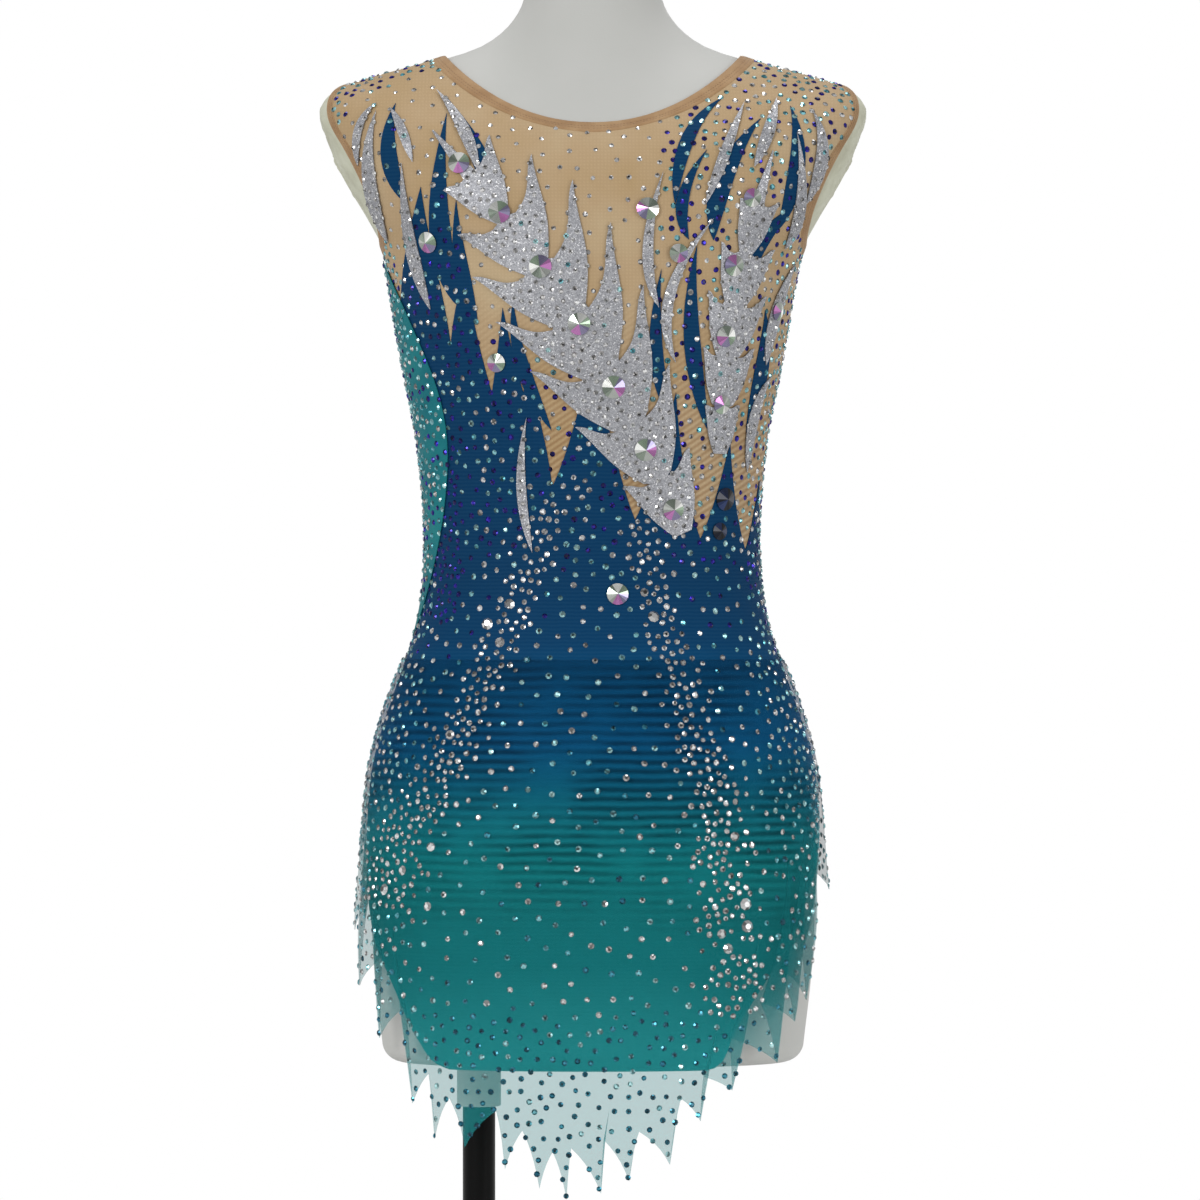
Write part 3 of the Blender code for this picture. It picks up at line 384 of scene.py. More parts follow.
# Unbleached lining cotton: a dull greenish cream, with a plain weave and the brown specks of wear
cap_cotton, tree, shader, place = start_material(
    "cap_cotton", {"Roughness": 0.8, "IOR": 1.47, "Sheen Weight": 0.1})
mottle = add(tree, "ShaderNodeTexNoise", {"Scale": 38.0, "Detail": 6.0, "Roughness": 0.65}, {"Vector": place})
tree.links.new(add(tree, "ShaderNodeValToRGB", {"stops": (
    (0.27, "#7F7B66"), (0.34, "#B3B29C"), (0.55, "#C6C7B2"), (0.75, "#D2D3C2"))},
                   {"Fac": mottle.outputs["Fac"]}).outputs["Color"], shader.inputs["Base Color"])
weave = add(tree, "ShaderNodeTexNoise", {"Scale": 700.0, "Detail": 2.0}, {"Vector": place}).outputs["Fac"]
weave_bump = add(tree, "ShaderNodeBump", {"Strength": 0.25, "Distance": 0.0004}, {"Height": weave})
tree.links.new(weave_bump.outputs["Normal"], shader.inputs["Normal"])

# Creases of the right cap, from one turn and level to another, with width and height
CAP_CREASES = (
    (74, 640, 104, 700, 1.8, 0.9), (78, 700, 100, 652, 1.5, 0.7), (84, 622, 92, 690, 1.6, 0.8),
    (96, 640, 106, 716, 1.4, 0.7), (70, 668, 98, 676, 1.7, 0.6), (76, 716, 108, 708, 1.5, 0.6),
    (82, 650, 110, 640, 1.6, 0.7), (90, 714, 96, 664, 1.3, 0.7), (72, 690, 88, 722, 1.4, 0.6),
    (74, 626, 88, 664, 1.4, -0.5), (98, 690, 112, 668, 1.4, -0.5), (86, 700, 104, 684, 1.3, -0.5),
)
cap_angles = np.arange(CAP_SIDES) * 360.0 / CAP_SIDES
cap_grow = np.concatenate((np.linspace(-0.98, 0.0, CAP_ROWS), np.linspace(0.25, CAP_REACH, 6)))
for side, side_name in ((1.0, "right"), (-1.0, "left")):
    turn, level = armhole_place(cap_angles[None, :], cap_grow[:, None], side)
    relief = crease_relief(np.abs(turn), level, CAP_CREASES)
    relief *= np.clip(1.2 - cap_grow, 0.0, 1.0)[:, None]
    outer, _ = laid_on(form_surface, turn, level, CAP_LAYER[1] + np.maximum(relief, -0.4))
    inner, _ = laid_on(form_surface, turn, level, np.full(turn.shape, CAP_LAYER[0]))
    rows = len(cap_grow)
    flipped = side > 0
    faces = grid_faces(rows, CAP_SIDES, closed=True, flipped=not flipped)
    faces += grid_faces(rows, CAP_SIDES, closed=True, first=rows * CAP_SIDES, flipped=flipped)
    rim = (rows - 1) * CAP_SIDES + np.arange(CAP_SIDES + 1) % CAP_SIDES
    for start, end in zip(rim.tolist(), rim[1:].tolist()):
        wall = [start, end, end + rows * CAP_SIDES, start + rows * CAP_SIDES]
        faces.append(wall if flipped else wall[::-1])
    hub = list(range(CAP_SIDES))
    far_hub = [rows * CAP_SIDES + mark for mark in hub]
    faces += [hub, far_hub[::-1]] if flipped else [hub[::-1], far_hub]
    cap = make_piece(f"shoulder_cap_{side_name}", np.stack((outer, inner)), faces, cap_cotton)


# Yoke
# Nude power mesh, cut as one panel for the back and one for the front, from the neck down to the waist.
# It is stretched over the form, sewn at the shoulders and sides, and runs a little way under the lycra.
YOKE_LAYER = (1.1, 1.9)
YOKE_TUCK = 11.0            # how far the mesh runs under the lycra's edge
SEAM_HALF_GAP = 0.10
NECK_EDGE = 751.0
NECK_BINDING_WIDTH = 11.5
NECK_SEARCH = 24.0          # levels below the neck edge in which its binding ends
NECK_STEPS = 49
TONGUE_HOLLOW = {"turn": 0.55, "up": 0.42}
EDGE_CELLS = 8              # cells along one side of a tongue
CHEST_ROWS = 64
ARMHOLE_ROWS = 44
SHOULDER_ROWS = 12

# Upper edge of the coloured body: turn and level of each valley, then of the tip of the tongue after
# it, from the left side to the right, with turns from the centre line of back or front
TONGUES_BACK = (
    (-90.0, 508.0, -77.0, 580.0), (-64.0, 488.0, -50.0, 584.0), (-38.0, 460.0, -25.0, 560.0),
    (-12.0, 430.0, 0.0, 528.0), (13.0, 404.0, 25.0, 498.0), (38.0, 390.0, 50.0, 462.0),
    (64.0, 382.0, 76.0, 434.0),
)
TONGUES_FRONT = (
    (-90.0, 508.0, -75.0, 576.0), (-60.0, 480.0, -45.0, 570.0), (-30.0, 446.0, -15.0, 536.0),
    (0.0, 416.0, 14.0, 502.0), (30.0, 398.0, 44.0, 466.0), (60.0, 386.0, 74.0, 434.0),
)
TONGUE_END = (90.0, 376.0)


def curved_side(start, through, end, cells):
    """Points of a quadratic curve from start to end that passes a given point at its middle"""
    start, through, end = (np.asarray(spot, dtype=float) for spot in (start, through, end))
    control = 2.0 * through - 0.5 * (start + end)
    share = np.linspace(0.0, 1.0, cells + 1)[:, None]
    return start * (1 - share) ** 2 + control * 2 * share * (1 - share) + end * share ** 2


def pointed_edge(corners, hollow_turn, hollow_up, cells):
    """Edge through a row of corners, low and high by turns, whose sides are hollowed towards the low one"""
    edge = [np.array([corners[0]], dtype=float)]
    for start, end in zip(corners, corners[1:]):
        low, high = (start, end) if start[1] < end[1] else (end, start)
        through = (low[0] + (high[0] - low[0]) * hollow_turn, low[1] + (high[1] - low[1]) * hollow_up)
        edge.append(curved_side(start, through, end, cells)[1:])
    return np.concatenate(edge)


def crown_edge(tongues):
    """Upper edge of the lycra as turns from the centre line and levels"""
    corners = [spot for row in tongues for spot in (row[:2], row[2:])] + [TONGUE_END]
    edge = pointed_edge(corners, TONGUE_HOLLOW["turn"], TONGUE_HOLLOW["up"], EDGE_CELLS)
    reach = 90.0 - SEAM_HALF_GAP
    edge[:, 0] = np.clip(edge[:, 0], -reach, reach)
    return edge


def neck_low_level(turn, width):
    """Level that lies a given width of cloth below the neck edge, measured along the form"""
    turn, width = np.broadcast_arrays(np.asarray(turn, dtype=float), np.asarray(width, dtype=float))
    levels = np.linspace(NECK_EDGE, NECK_EDGE - NECK_SEARCH, NECK_STEPS)
    line = form_surface(turn[..., None], levels)
    steps = np.linalg.norm(np.diff(line, axis=-2), axis=-1)
    travelled = np.concatenate((np.zeros(turn.shape + (1,)), np.cumsum(steps, axis=-1)), axis=-1)
    low = [np.interp(reach, run, levels) for reach, run in
           zip(width.ravel(), travelled.reshape(-1, NECK_STEPS))]
    return np.array(low).reshape(turn.shape)


def cloth_shell(name, surface, turn, level, layer, material, relief=0.0, closed=False):
    """Thin cloth over rows of places: two faces a wall apart, the outer one with its relief, and a rim"""
    rows, columns = turn.shape
    outer, _ = laid_on(surface, turn, level, np.full(turn.shape, layer[1]) + relief)
    inner, _ = laid_on(surface, turn, level, np.full(turn.shape, layer[0]) + relief)
    marks = np.arange(rows * columns).reshape(rows, columns)
    faces = grid_faces(rows, columns, closed)
    faces += grid_faces(rows, columns, closed, first=rows * columns, flipped=True)
    if closed:
        rings = (np.append(marks[0], marks[0, 0]), np.append(marks[-1], marks[-1, 0])[::-1])
    else:
        rings = (np.concatenate((marks[0], marks[1:, -1], marks[-1, -2::-1], marks[-2::-1, 0])),)
    for ring in rings:
        for start, end in zip(ring.tolist(), ring[1:].tolist()):
            faces.append([end, start, start + rows * columns, end + rows * columns])
    return make_piece(name, np.stack((outer, inner)), faces, material)


def blended_rows(start, end, shares):
    """Rows of places between two edges of as many places each"""
    shares = np.asarray(shares)[:, None, None]
    return start[None] * (1 - shares) + end[None] * shares


def facing(places, front):
    """Turns counted from the centre line as turns round the body, and levels, with the turns growing"""
    if front:
        return 180.0 - places[:, ::-1, 0], places[:, ::-1, 1]
    return places[..., 0], places[..., 1]


# Nylon power mesh, warp knitted: tan, almost matt, with fine ribs and pores. Its real pitch of 0.5 mm is
# too fine for the picture, so ribs and pores are drawn 1.3 mm apart. Towards the waist, where it is pulled
# askew, slanting darker ribs 2 mm apart show
MESH_PITCH = 1.3
SLANT_PITCH = 2.0
SLANT = 34.0
nude_power_mesh, tree, shader, place = start_material(
    "nude_power_mesh", {"Roughness": 0.72, "IOR": 1.5, "Specular IOR Level": 0.3, "Sheen Weight": 0.1})
wave_scale = 1000.0 / MESH_PITCH / 20.0 * math.pi
ribs = add(tree, "ShaderNodeTexWave", {"bands_direction": "Z", "Scale": wave_scale, "Distortion": 1.2,
                                       "Detail": 1.0, "Detail Scale": 2.0}, {"Vector": place})
pores = add(tree, "ShaderNodeTexWave", {"bands_direction": "X", "Scale": wave_scale, "Distortion": 0.8,
                                        "Detail": 1.0, "Detail Scale": 2.0}, {"Vector": place})
net = add(tree, "ShaderNodeMath", {"operation": "MULTIPLY"},
          {0: ribs.outputs["Fac"], 1: pores.outputs["Fac"]}).outputs[0]
stretch = add(tree, "ShaderNodeTexNoise", {"Scale": 16.0, "Detail": 4.0}, {"Vector": place}).outputs["Fac"]
shade = add(tree, "ShaderNodeValToRGB", {"stops": ((0.3, "#B2976F"), (0.5, "#B89E7A"), (0.72, "#BFA986"))},
            {"Fac": stretch}).outputs["Color"]
thread = add(tree, "ShaderNodeMix", {"data_type": "RGBA", "blend_type": "MULTIPLY"},
             {"Factor": add(tree, "ShaderNodeMapRange",
                            {"To Min": 0.1, "To Max": 0.0}, {"Value": net}).outputs[0],
              "A": shade})
thread.inputs["B"].default_value = linear("#9A7F58")
askew = add(tree, "ShaderNodeMapping", {"Rotation": (0.0, math.radians(SLANT), 0.0)}, {"Vector": place})
slants = add(tree, "ShaderNodeTexWave", {
    "bands_direction": "Z", "Scale": 1000.0 / SLANT_PITCH / 20.0 * math.pi, "Distortion": 1.0, "Detail": 1.0,
    "Detail Scale": 0.5}, {"Vector": askew.outputs[0]}).outputs["Fac"]
height = add(tree, "ShaderNodeSeparateXYZ", {}, {"Vector": place}).outputs["Z"]
low_down = add(tree, "ShaderNodeMapRange", {"From Min": 0.86, "From Max": 0.74, "To Max": 0.5},
               {"Value": height}).outputs[0]
ribbed = add(tree, "ShaderNodeMix", {"data_type": "RGBA", "blend_type": "MULTIPLY"},
             {"Factor": add(tree, "ShaderNodeMath",
                            {"operation": "MULTIPLY"}, {0: low_down, 1: slants}).outputs[0],
              "A": thread.outputs["Result"]})
ribbed.inputs["B"].default_value = linear("#B08A5C")
tree.links.new(ribbed.outputs["Result"], shader.inputs["Base Color"])
net_bump = add(tree, "ShaderNodeBump", {"Strength": 0.2, "Distance": 0.0003}, {"Height": net})
tree.links.new(net_bump.outputs["Normal"], shader.inputs["Normal"])

# Pull lines that run in from the armholes and under the neck, the same way at the front
YOKE_CREASES = (
    (62, 640, 40, 610, 3.0, 0.5), (60, 664, 34, 650, 2.6, 0.4), (-62, 636, -38, 604, 3.0, 0.5),
    (-58, 668, -32, 652, 2.6, 0.4), (74, 560, 66, 470, 3.2, 0.5), (-74, 600, -60, 560, 3.0, 0.4),
    (28, 700, 12, 640, 3.5, -0.35), (-26, 700, -10, 646, 3.5, -0.35), (52, 540, 44, 470, 3.0, -0.3),
    (40, 600, 20, 560, 3.4, 0.3),
)


def yoke_panel(name, tongues, front):
    """Mesh panel from under the lycra to the neck binding, cut away at the armholes"""
    crown = crown_edge(tongues)
    low = crown - (0.0, YOKE_TUCK)
    share = np.linspace(-1.0, 1.0, len(crown))
    angles = np.linspace(-90.0, 90.0, ARMHOLE_ROWS + 1)
    turn, level = armhole_place(180.0 - angles if front else angles, np.full(angles.shape, 1.0), 1.0)
    edge = np.minimum(180.0 - turn if front else turn, 90.0 - SEAM_HALF_GAP)
    chest = np.stack((edge[:, None] * share[None], np.repeat(level[:, None], len(share), axis=1)), axis=-1)
    shoulder_turn = (90.0 - SEAM_HALF_GAP) * share
    neck = np.stack((shoulder_turn, neck_low_level(shoulder_turn, NECK_BINDING_WIDTH - 1.0)), axis=-1)
    top = np.stack((shoulder_turn, np.full(share.shape, level[-1])), axis=-1)
    low_rows = blended_rows(low, chest[0], np.linspace(0.0, 1.0, CHEST_ROWS, endpoint=False))
    top_rows = blended_rows(top, neck, np.linspace(0.0, 1.0, SHOULDER_ROWS + 1)[1:])
    turn, level = facing(np.concatenate((low_rows, chest, top_rows)), front)
    relief = crease_relief(180.0 - turn if front else turn, level, YOKE_CREASES)
    return cloth_shell(name, form_surface, turn, level, YOKE_LAYER, nude_power_mesh, relief)


yoke_back = yoke_panel("yoke_back_panel", TONGUES_BACK, False)
yoke_front = yoke_panel("yoke_front_panel", TONGUES_FRONT, True)
for piece, node, area in ((yoke_back, "yoke_back", 0.104), (yoke_front, "yoke_front", 0.099)):
    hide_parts(node)


# Neck and armhole bindings
# Strips of the same mesh folded double over each raw edge and coverstitched, so they are a little
# darker, thicker and faintly ribbed, with sunken rows of thread.
BINDING_LAYER = (1.0, 2.5)
BINDING_SWELL = 0.7
BINDING_ROWS = 13
NECK_COLUMNS = 240
ARMHOLE_COLUMNS = 200
NECK_STITCH_ROWS = (0.30, 0.52)         # shares of the width, from the low edge to the opening
ARMHOLE_STITCH_ROWS = (0.18, 0.42, 0.66)
STITCH_DIP = 0.32
STITCH_SPREAD = 0.05
STITCH_LENGTH = 1.7
STITCH_PITCH = 2.5
STITCH_WIDTH = 0.42

# The same nylon mesh in two layers: denser and browner, its ribs squeezed together across the strip
folded_mesh, tree, shader, place = start_material(
    "folded_mesh_binding", {"Roughness": 0.75, "IOR": 1.5, "Specular IOR Level": 0.3, "Sheen Weight": 0.1})
wear = add(tree, "ShaderNodeTexNoise", {"Scale": 60.0, "Detail": 5.0}, {"Vector": place}).outputs["Fac"]
tree.links.new(add(tree, "ShaderNodeValToRGB",
                   {"stops": ((0.3, "#9A7854"), (0.55, "#A78661"), (0.75, "#B1926D"))},
                   {"Fac": wear}).outputs["Color"],
               shader.inputs["Base Color"])
rib = add(tree, "ShaderNodeTexVoronoi", {"Scale": 650.0}, {"Vector": place}).outputs["Distance"]
rib_bump = add(tree, "ShaderNodeBump", {"Strength": 0.4, "Distance": 0.0003}, {"Height": rib})
tree.links.new(rib_bump.outputs["Normal"], shader.inputs["Normal"])

# Spun polyester thread: matt, a shade browner than the cloth
sewing_thread, tree, shader, place = start_material(
    "sewing_thread", {"Roughness": 0.6, "IOR": 1.5, "Sheen Weight": 0.3})
twist = add(tree, "ShaderNodeTexNoise", {"Scale": 1500.0, "Detail": 1.0}, {"Vector": place}).outputs["Fac"]
tree.links.new(add(tree, "ShaderNodeValToRGB", {"stops": ((0.3, "#7A5838"), (0.7, "#94704A"))},
                   {"Fac": twist}).outputs["Color"], shader.inputs["Base Color"])


def binding_relief(share, stitch_rows):
    """Rounded strip that dips under each row of stitches; share runs across the strip from 0 to 1"""
    relief = BINDING_SWELL * (np.clip(np.sin(np.pi * share), 0.0, 1.0) ** 0.4 - 0.6)
    for row in stitch_rows:
        relief -= STITCH_DIP * np.exp(-((share - row) / STITCH_SPREAD) ** 2)
    return relief


def stitch_row(points, outward, pitch, length, width):
    """Short raised stitches along a line of points, as corners and faces of one mesh"""
    steps = np.linalg.norm(np.diff(points, axis=0), axis=1)
    travelled = np.concatenate(((0.0,), np.cumsum(steps)))
    starts = np.arange(0.0, travelled[-1] - length, pitch)
    corners = []
    for start in starts:
        ends = [np.array([np.interp(start + reach, travelled, points[:, axis]) for axis in range(3)])
                for reach in (0.0, length)]
        out = np.array([np.interp(start, travelled, outward[:, axis]) for axis in range(3)])
        along = (ends[1] - ends[0]) / np.linalg.norm(ends[1] - ends[0])
        side = np.cross(out, along) * width * 0.5
        middle = 0.5 * (ends[0] + ends[1]) + out * width * 0.55
        lift = along * length * 0.28
        corners += [ends[0], middle - side - lift, middle - side + lift, ends[1], middle + side + lift,
                    middle + side - lift,
                    middle + out * width * 0.25 - lift, middle + out * width * 0.25 + lift]
    faces = []
    for first in range(0, len(corners), 8):
        faces += [[first + mark for mark in face] for face in (
            (1, 6, 0), (2, 7, 6, 1), (3, 7, 2), (4, 7, 3), (5, 6, 7, 4), (0, 6, 5), (5, 4, 3, 2, 1, 0))]
    return corners, faces


def sewn_rows(name, lines, material):
    """One mesh of all the stitches along several lines of points with their directions out"""
    corners, faces = [], []
    for points, outward in lines:
        new_corners, new_faces = stitch_row(points, outward, STITCH_PITCH, STITCH_LENGTH, STITCH_WIDTH)
        faces += [[mark + len(corners) for mark in face] for face in new_faces]
        corners += new_corners
    return make_piece(name, np.array(corners), faces, material)


binding_share = np.linspace(0.0, 1.0, BINDING_ROWS)
neck_turn = np.arange(NECK_COLUMNS) * 360.0 / NECK_COLUMNS
neck_width = NECK_BINDING_WIDTH * (1.0 - binding_share)
neck_level = neck_low_level(neck_turn[None, :], neck_width[:, None])
turn = np.repeat(neck_turn[None, :], BINDING_ROWS, axis=0)
neck_binding = cloth_shell("neck_binding_strip", form_surface, turn, neck_level, BINDING_LAYER, folded_mesh,
                           binding_relief(binding_share, NECK_STITCH_ROWS)[:, None],
                           closed=True)
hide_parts("neck_binding")
stitch_lines = []
for share in NECK_STITCH_ROWS:
    level = neck_low_level(neck_turn, NECK_BINDING_WIDTH * (1.0 - share))
    depth = BINDING_LAYER[1] + binding_relief(np.array([share]), NECK_STITCH_ROWS)[0]
    points, outward = laid_on(form_surface, neck_turn, level, np.full(neck_turn.shape, depth))
    stitch_lines.append((np.vstack((points, points[:1])), np.vstack((outward, outward[:1]))))
neck_stitches = sewn_rows("neck_binding_stitches", stitch_lines, sewing_thread)

armhole_angle = np.arange(ARMHOLE_COLUMNS) * 360.0 / ARMHOLE_COLUMNS
armhole_grow = 1.0 - binding_share
for side, side_name in ((1.0, "right"), (-1.0, "left")):
    turn, level = armhole_place(armhole_angle[None, ::-int(side)], armhole_grow[:, None], side)
    relief = binding_relief(binding_share, ARMHOLE_STITCH_ROWS)[:, None]
    binding = cloth_shell(f"armhole_binding_strip_{side_name}", form_surface, turn, level, BINDING_LAYER,
                          folded_mesh, relief, closed=True)
    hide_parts(f"armhole_binding_{side_name}")
    stitch_lines = []
    for share in ARMHOLE_STITCH_ROWS:
        turn, level = armhole_place(armhole_angle, np.full(armhole_angle.shape, 1.0 - share), side)
        depth = BINDING_LAYER[1] + binding_relief(np.array([share]), ARMHOLE_STITCH_ROWS)[0]
        points, outward = laid_on(form_surface, turn, level, np.full(turn.shape, depth))
        stitch_lines.append((np.vstack((points, points[:1])), np.vstack((outward, outward[:1]))))
    stitches = sewn_rows(f"armhole_stitches_{side_name}", stitch_lines, sewing_thread)


# Lycra body
# Stretch lycra dyed from deep blue at the waist to teal at the seat, cut as a back and a front panel.
# The upper edge is cut in flame tongues, glued over the nude mesh; the leg edges turn over elastic.
BODY_LAYER = (2.0, 2.6)
SEAT_LEVEL = 219.0
CROWN_BASE = 365.0
LEG_CELLS = 8
SEAT_ROWS = 56
WAIST_ROWS = 60
CROWN_ROWS = 56

# Turn from the centre line and level of points down half a leg opening, from the side seam. The garment
# sits a little turned on the form, so the left edge of the back lies further out than the right one.
LEG_BACK_LEFT = (
    (90.0, 168.0), (87.0, 150.0), (82.0, 120.0), (74.0, 91.0), (65.0, 69.0), (58.6, 48.0), (54.4, 30.0),
    (49.0, 14.0), (45.0, 6.0), (41.0, 0.8), (32.0, 0.0), (24.0, 0.0), (16.0, 0.0), (8.0, 0.0), (0.0, 0.0),
)
LEG_BACK_RIGHT = (
    (90.0, 168.0), (83.0, 157.0), (75.0, 140.0), (66.0, 115.0), (57.5, 90.0), (50.0, 70.0), (43.0, 48.0),
    (38.0, 30.0), (35.5, 14.0), (33.8, 6.0), (31.0, 0.8), (24.0, 0.0), (16.0, 0.0), (8.0, 0.0), (0.0, 0.0),
)
LEG_FRONT = (
    (90.0, 168.0), (82.0, 150.0), (73.0, 128.0), (63.0, 104.0), (53.0, 80.0), (44.0, 60.0), (35.0, 42.0),
    (27.0, 28.0), (21.0, 14.0), (17.5, 6.0), (14.5, 0.8), (8.0, 0.0), (0.0, 0.0),
)

# Colour at each height of the cloth, from the hem to the shoulders
DYE_LOW = 0.15
DYE_HIGH = 0.95
DYE_STOPS = (
    (0.299, "#28979A"), (0.355, "#188286"), (0.396, "#168185"), (0.430, "#14888D"), (0.459, "#14818F"),
    (0.490, "#0B6685"), (0.520, "#0A5B8A"), (0.558, "#08517D"), (0.592, "#083C63"), (0.640, "#08375C"),
    (0.930, "#08375C"),
)


def dyed_colour(tree, place, wander):
    """Colour of the dye at each height, with a soft uneven border where the two baths meet"""
    cloud = add(tree, "ShaderNodeTexNoise", {"Scale": 7.0, "Detail": 3.0}, {"Vector": place}).outputs["Fac"]
    height = add(tree, "ShaderNodeSeparateXYZ", {}, {"Vector": place}).outputs["Z"]
    shift = add(tree, "ShaderNodeMath", {"operation": "MULTIPLY_ADD", 1: wander}, {0: cloud, 2: height})
    scaled = add(tree, "ShaderNodeMapRange",
                 {"From Min": DYE_LOW + wander / 2, "From Max": DYE_HIGH + wander / 2},
                 {"Value": shift.outputs[0]})
    stops = [((height - DYE_LOW) / (DYE_HIGH - DYE_LOW), code) for height, code in DYE_STOPS]
    return add(tree, "ShaderNodeValToRGB", {"stops": stops},
               {"Fac": scaled.outputs["Result"]}).outputs["Color"]


# Matt nylon and elastane knit: deep, even colour that goes a little pale where it is stretched, with
# fine courses that run round the body, drawn 1.4 mm apart where the real ones are 0.4 mm
COURSE_PITCH = 1.4
dyed_lycra, tree, shader, place = start_material(
    "dyed_lycra", {"Roughness": 0.6, "IOR": 1.5, "Specular IOR Level": 0.04, "Sheen Weight": 0.006})
courses = add(tree, "ShaderNodeTexWave", {
    "bands_direction": "Z", "Scale": 1000.0 / COURSE_PITCH / 20.0 * math.pi, "Distortion": 1.5, "Detail": 2.0,
    "Detail Scale": 1.5}, {"Vector": place}).outputs["Fac"]
pale = add(tree, "ShaderNodeMapRange", {"To Min": 0.0, "To Max": 0.03}, {"Value": courses}).outputs[0]
worn = add(tree, "ShaderNodeMix", {"data_type": "RGBA", "blend_type": "SCREEN"},
           {"Factor": pale, "A": dyed_colour(tree, place, 0.02)})
worn.inputs["B"].default_value = linear("#5E8FA8")
tree.links.new(worn.outputs["Result"], shader.inputs["Base Color"])
course_bump = add(tree, "ShaderNodeBump", {"Strength": 0.2, "Distance": 0.0003}, {"Height": courses})
tree.links.new(course_bump.outputs["Normal"], shader.inputs["Normal"])

# Soft ripples across the waist, and pull lines from the sides
BODY_CREASES = (
    (-62, 352, -20, 340, 3.0, 0.5), (-30, 372, 18, 364, 2.6, 0.45), (8, 342, 52, 350, 3.0, 0.5),
    (30, 380, 66, 372, 2.6, 0.4), (-70, 392, -38, 384, 2.6, 0.45), (-84, 330, -58, 316, 3.2, 0.55),
    (58, 326, 84, 334, 3.2, 0.5), (-48, 320, -6, 314, 2.8, 0.45), (4, 318, 46, 322, 2.8, 0.4),
    (-80, 440, -62, 420, 3.4, 0.45), (60, 410, 82, 424, 3.4, 0.4), (84, 300, 88, 180, 4.0, 0.5),
)


def smooth_edge(points, cells):
    """Points of a smooth curve through all the given ones, with so many cells between neighbours"""
    points = np.array(points, dtype=float)
    before = np.vstack((points[:1], points[:-1]))
    after = np.vstack((points[1:], points[-1:]))
    slopes = 0.5 * (after - before)
    edge = [points[:1]]
    for index in range(len(points) - 1):
        share = np.linspace(0.0, 1.0, cells + 1)[1:, None]
        low, high = points[index], points[index + 1]
        edge.append(low * (2 * share ** 3 - 3 * share ** 2 + 1)
                    + slopes[index] * (share ** 3 - 2 * share ** 2 + share)
                    + high * (3 * share ** 2 - 2 * share ** 3)
                    + slopes[index + 1] * (share ** 3 - share ** 2))
    return np.concatenate(edge)


def leg_edge(half_outlines, columns):
    """Whole lower edge of a body panel, from one side seam to the other, in even steps"""
    left, right = (smooth_edge(outline, LEG_CELLS) for outline in half_outlines)
    whole = np.concatenate((left * (-1.0, 1.0), right[-2::-1]))
    whole[:, 0] = np.clip(whole[:, 0], SEAM_HALF_GAP - 90.0, 90.0 - SEAM_HALF_GAP)
    whole[:, 1] = np.maximum(whole[:, 1], 0.0)
    steps = np.linalg.norm(np.diff(whole * (MM_PER_DEGREE, 1.0), axis=0), axis=1)
    travelled = np.concatenate(((0.0,), np.cumsum(steps)))
    even = np.linspace(0.0, travelled[-1], columns)
    return np.stack([np.interp(even, travelled, whole[:, axis]) for axis in range(2)], axis=-1)


def body_panel(name, tongues, half_outlines, front):
    """Lycra panel from the leg edge and the side seams up to the crown of tongues"""
    crown = crown_edge(tongues)
    leg = leg_edge(half_outlines, len(crown))
    share = np.linspace(-1.0, 1.0, len(crown)) * (90.0 - SEAM_HALF_GAP)
    seat = np.stack((share, np.full(share.shape, SEAT_LEVEL)), axis=-1)
    waist = np.stack((share, np.full(share.shape, CROWN_BASE)), axis=-1)
    rows = np.concatenate((
        blended_rows(leg, seat, np.linspace(0.0, 1.0, SEAT_ROWS, endpoint=False) ** 1.5),
        blended_rows(seat, waist, np.linspace(0.0, 1.0, WAIST_ROWS, endpoint=False)),
        blended_rows(waist, crown, np.linspace(0.0, 1.0, CROWN_ROWS + 1)),
    ))
    turn, level = facing(rows, front)
    relief = crease_relief(180.0 - turn if front else turn, level, BODY_CREASES)
    return cloth_shell(name, form_surface, turn, level, BODY_LAYER, dyed_lycra, relief)


body_back = body_panel("body_back_panel", TONGUES_BACK, (LEG_BACK_LEFT, LEG_BACK_RIGHT), False)
body_front = body_panel("body_front_panel", TONGUES_FRONT, (LEG_FRONT, LEG_FRONT), True)

# The gusset is the narrow part of the lycra that passes under the form. Its reach to the left and to the
# right is given from the back edge to the front one.
GUSSET_REACHES = (
    (107.0, 85.0), (77.0, 64.0), (54.0, 48.0), (41.0, 38.0), (35.0, 34.0), (33.0, 33.0), (35.0, 35.0),
    (39.0, 39.0), (43.0, 43.0),
)
GUSSET_COLUMNS = 25
GUSSET_ROWS = 49

gusset_share = np.linspace(0.0, 1.0, GUSSET_ROWS)
places = np.linspace(0.0, 1.0, len(GUSSET_REACHES))
left, right = (np.interp(gusset_share, places, reaches) for reaches in zip(*GUSSET_REACHES))
across = np.linspace(-left, right, GUSSET_COLUMNS, axis=1)
_, _, _, section_width, section_back, section_front, fullness = between_sections(FORM_SECTIONS, EDGE_ROUNDING)
inset = EDGE_ROUNDING + FIT_GAP
curve = (1.0 - np.abs(across / (section_width - inset)) ** fullness) ** (1.0 / fullness)
along = curve * (gusset_share[:, None] * (section_back + section_front - 2 * inset) - (section_back - inset))
faces = []
points = []
for drop in BODY_LAYER:
    points.append(np.stack((across, along, np.full(across.shape, -drop)), axis=-1))
cells = GUSSET_ROWS * GUSSET_COLUMNS
marks = np.arange(cells).reshape(GUSSET_ROWS, GUSSET_COLUMNS)
faces += grid_faces(GUSSET_ROWS, GUSSET_COLUMNS)
faces += grid_faces(GUSSET_ROWS, GUSSET_COLUMNS, first=cells, flipped=True)
ring = np.concatenate((marks[0], marks[1:, -1], marks[-1, -2::-1], marks[-2::-1, 0])).tolist()
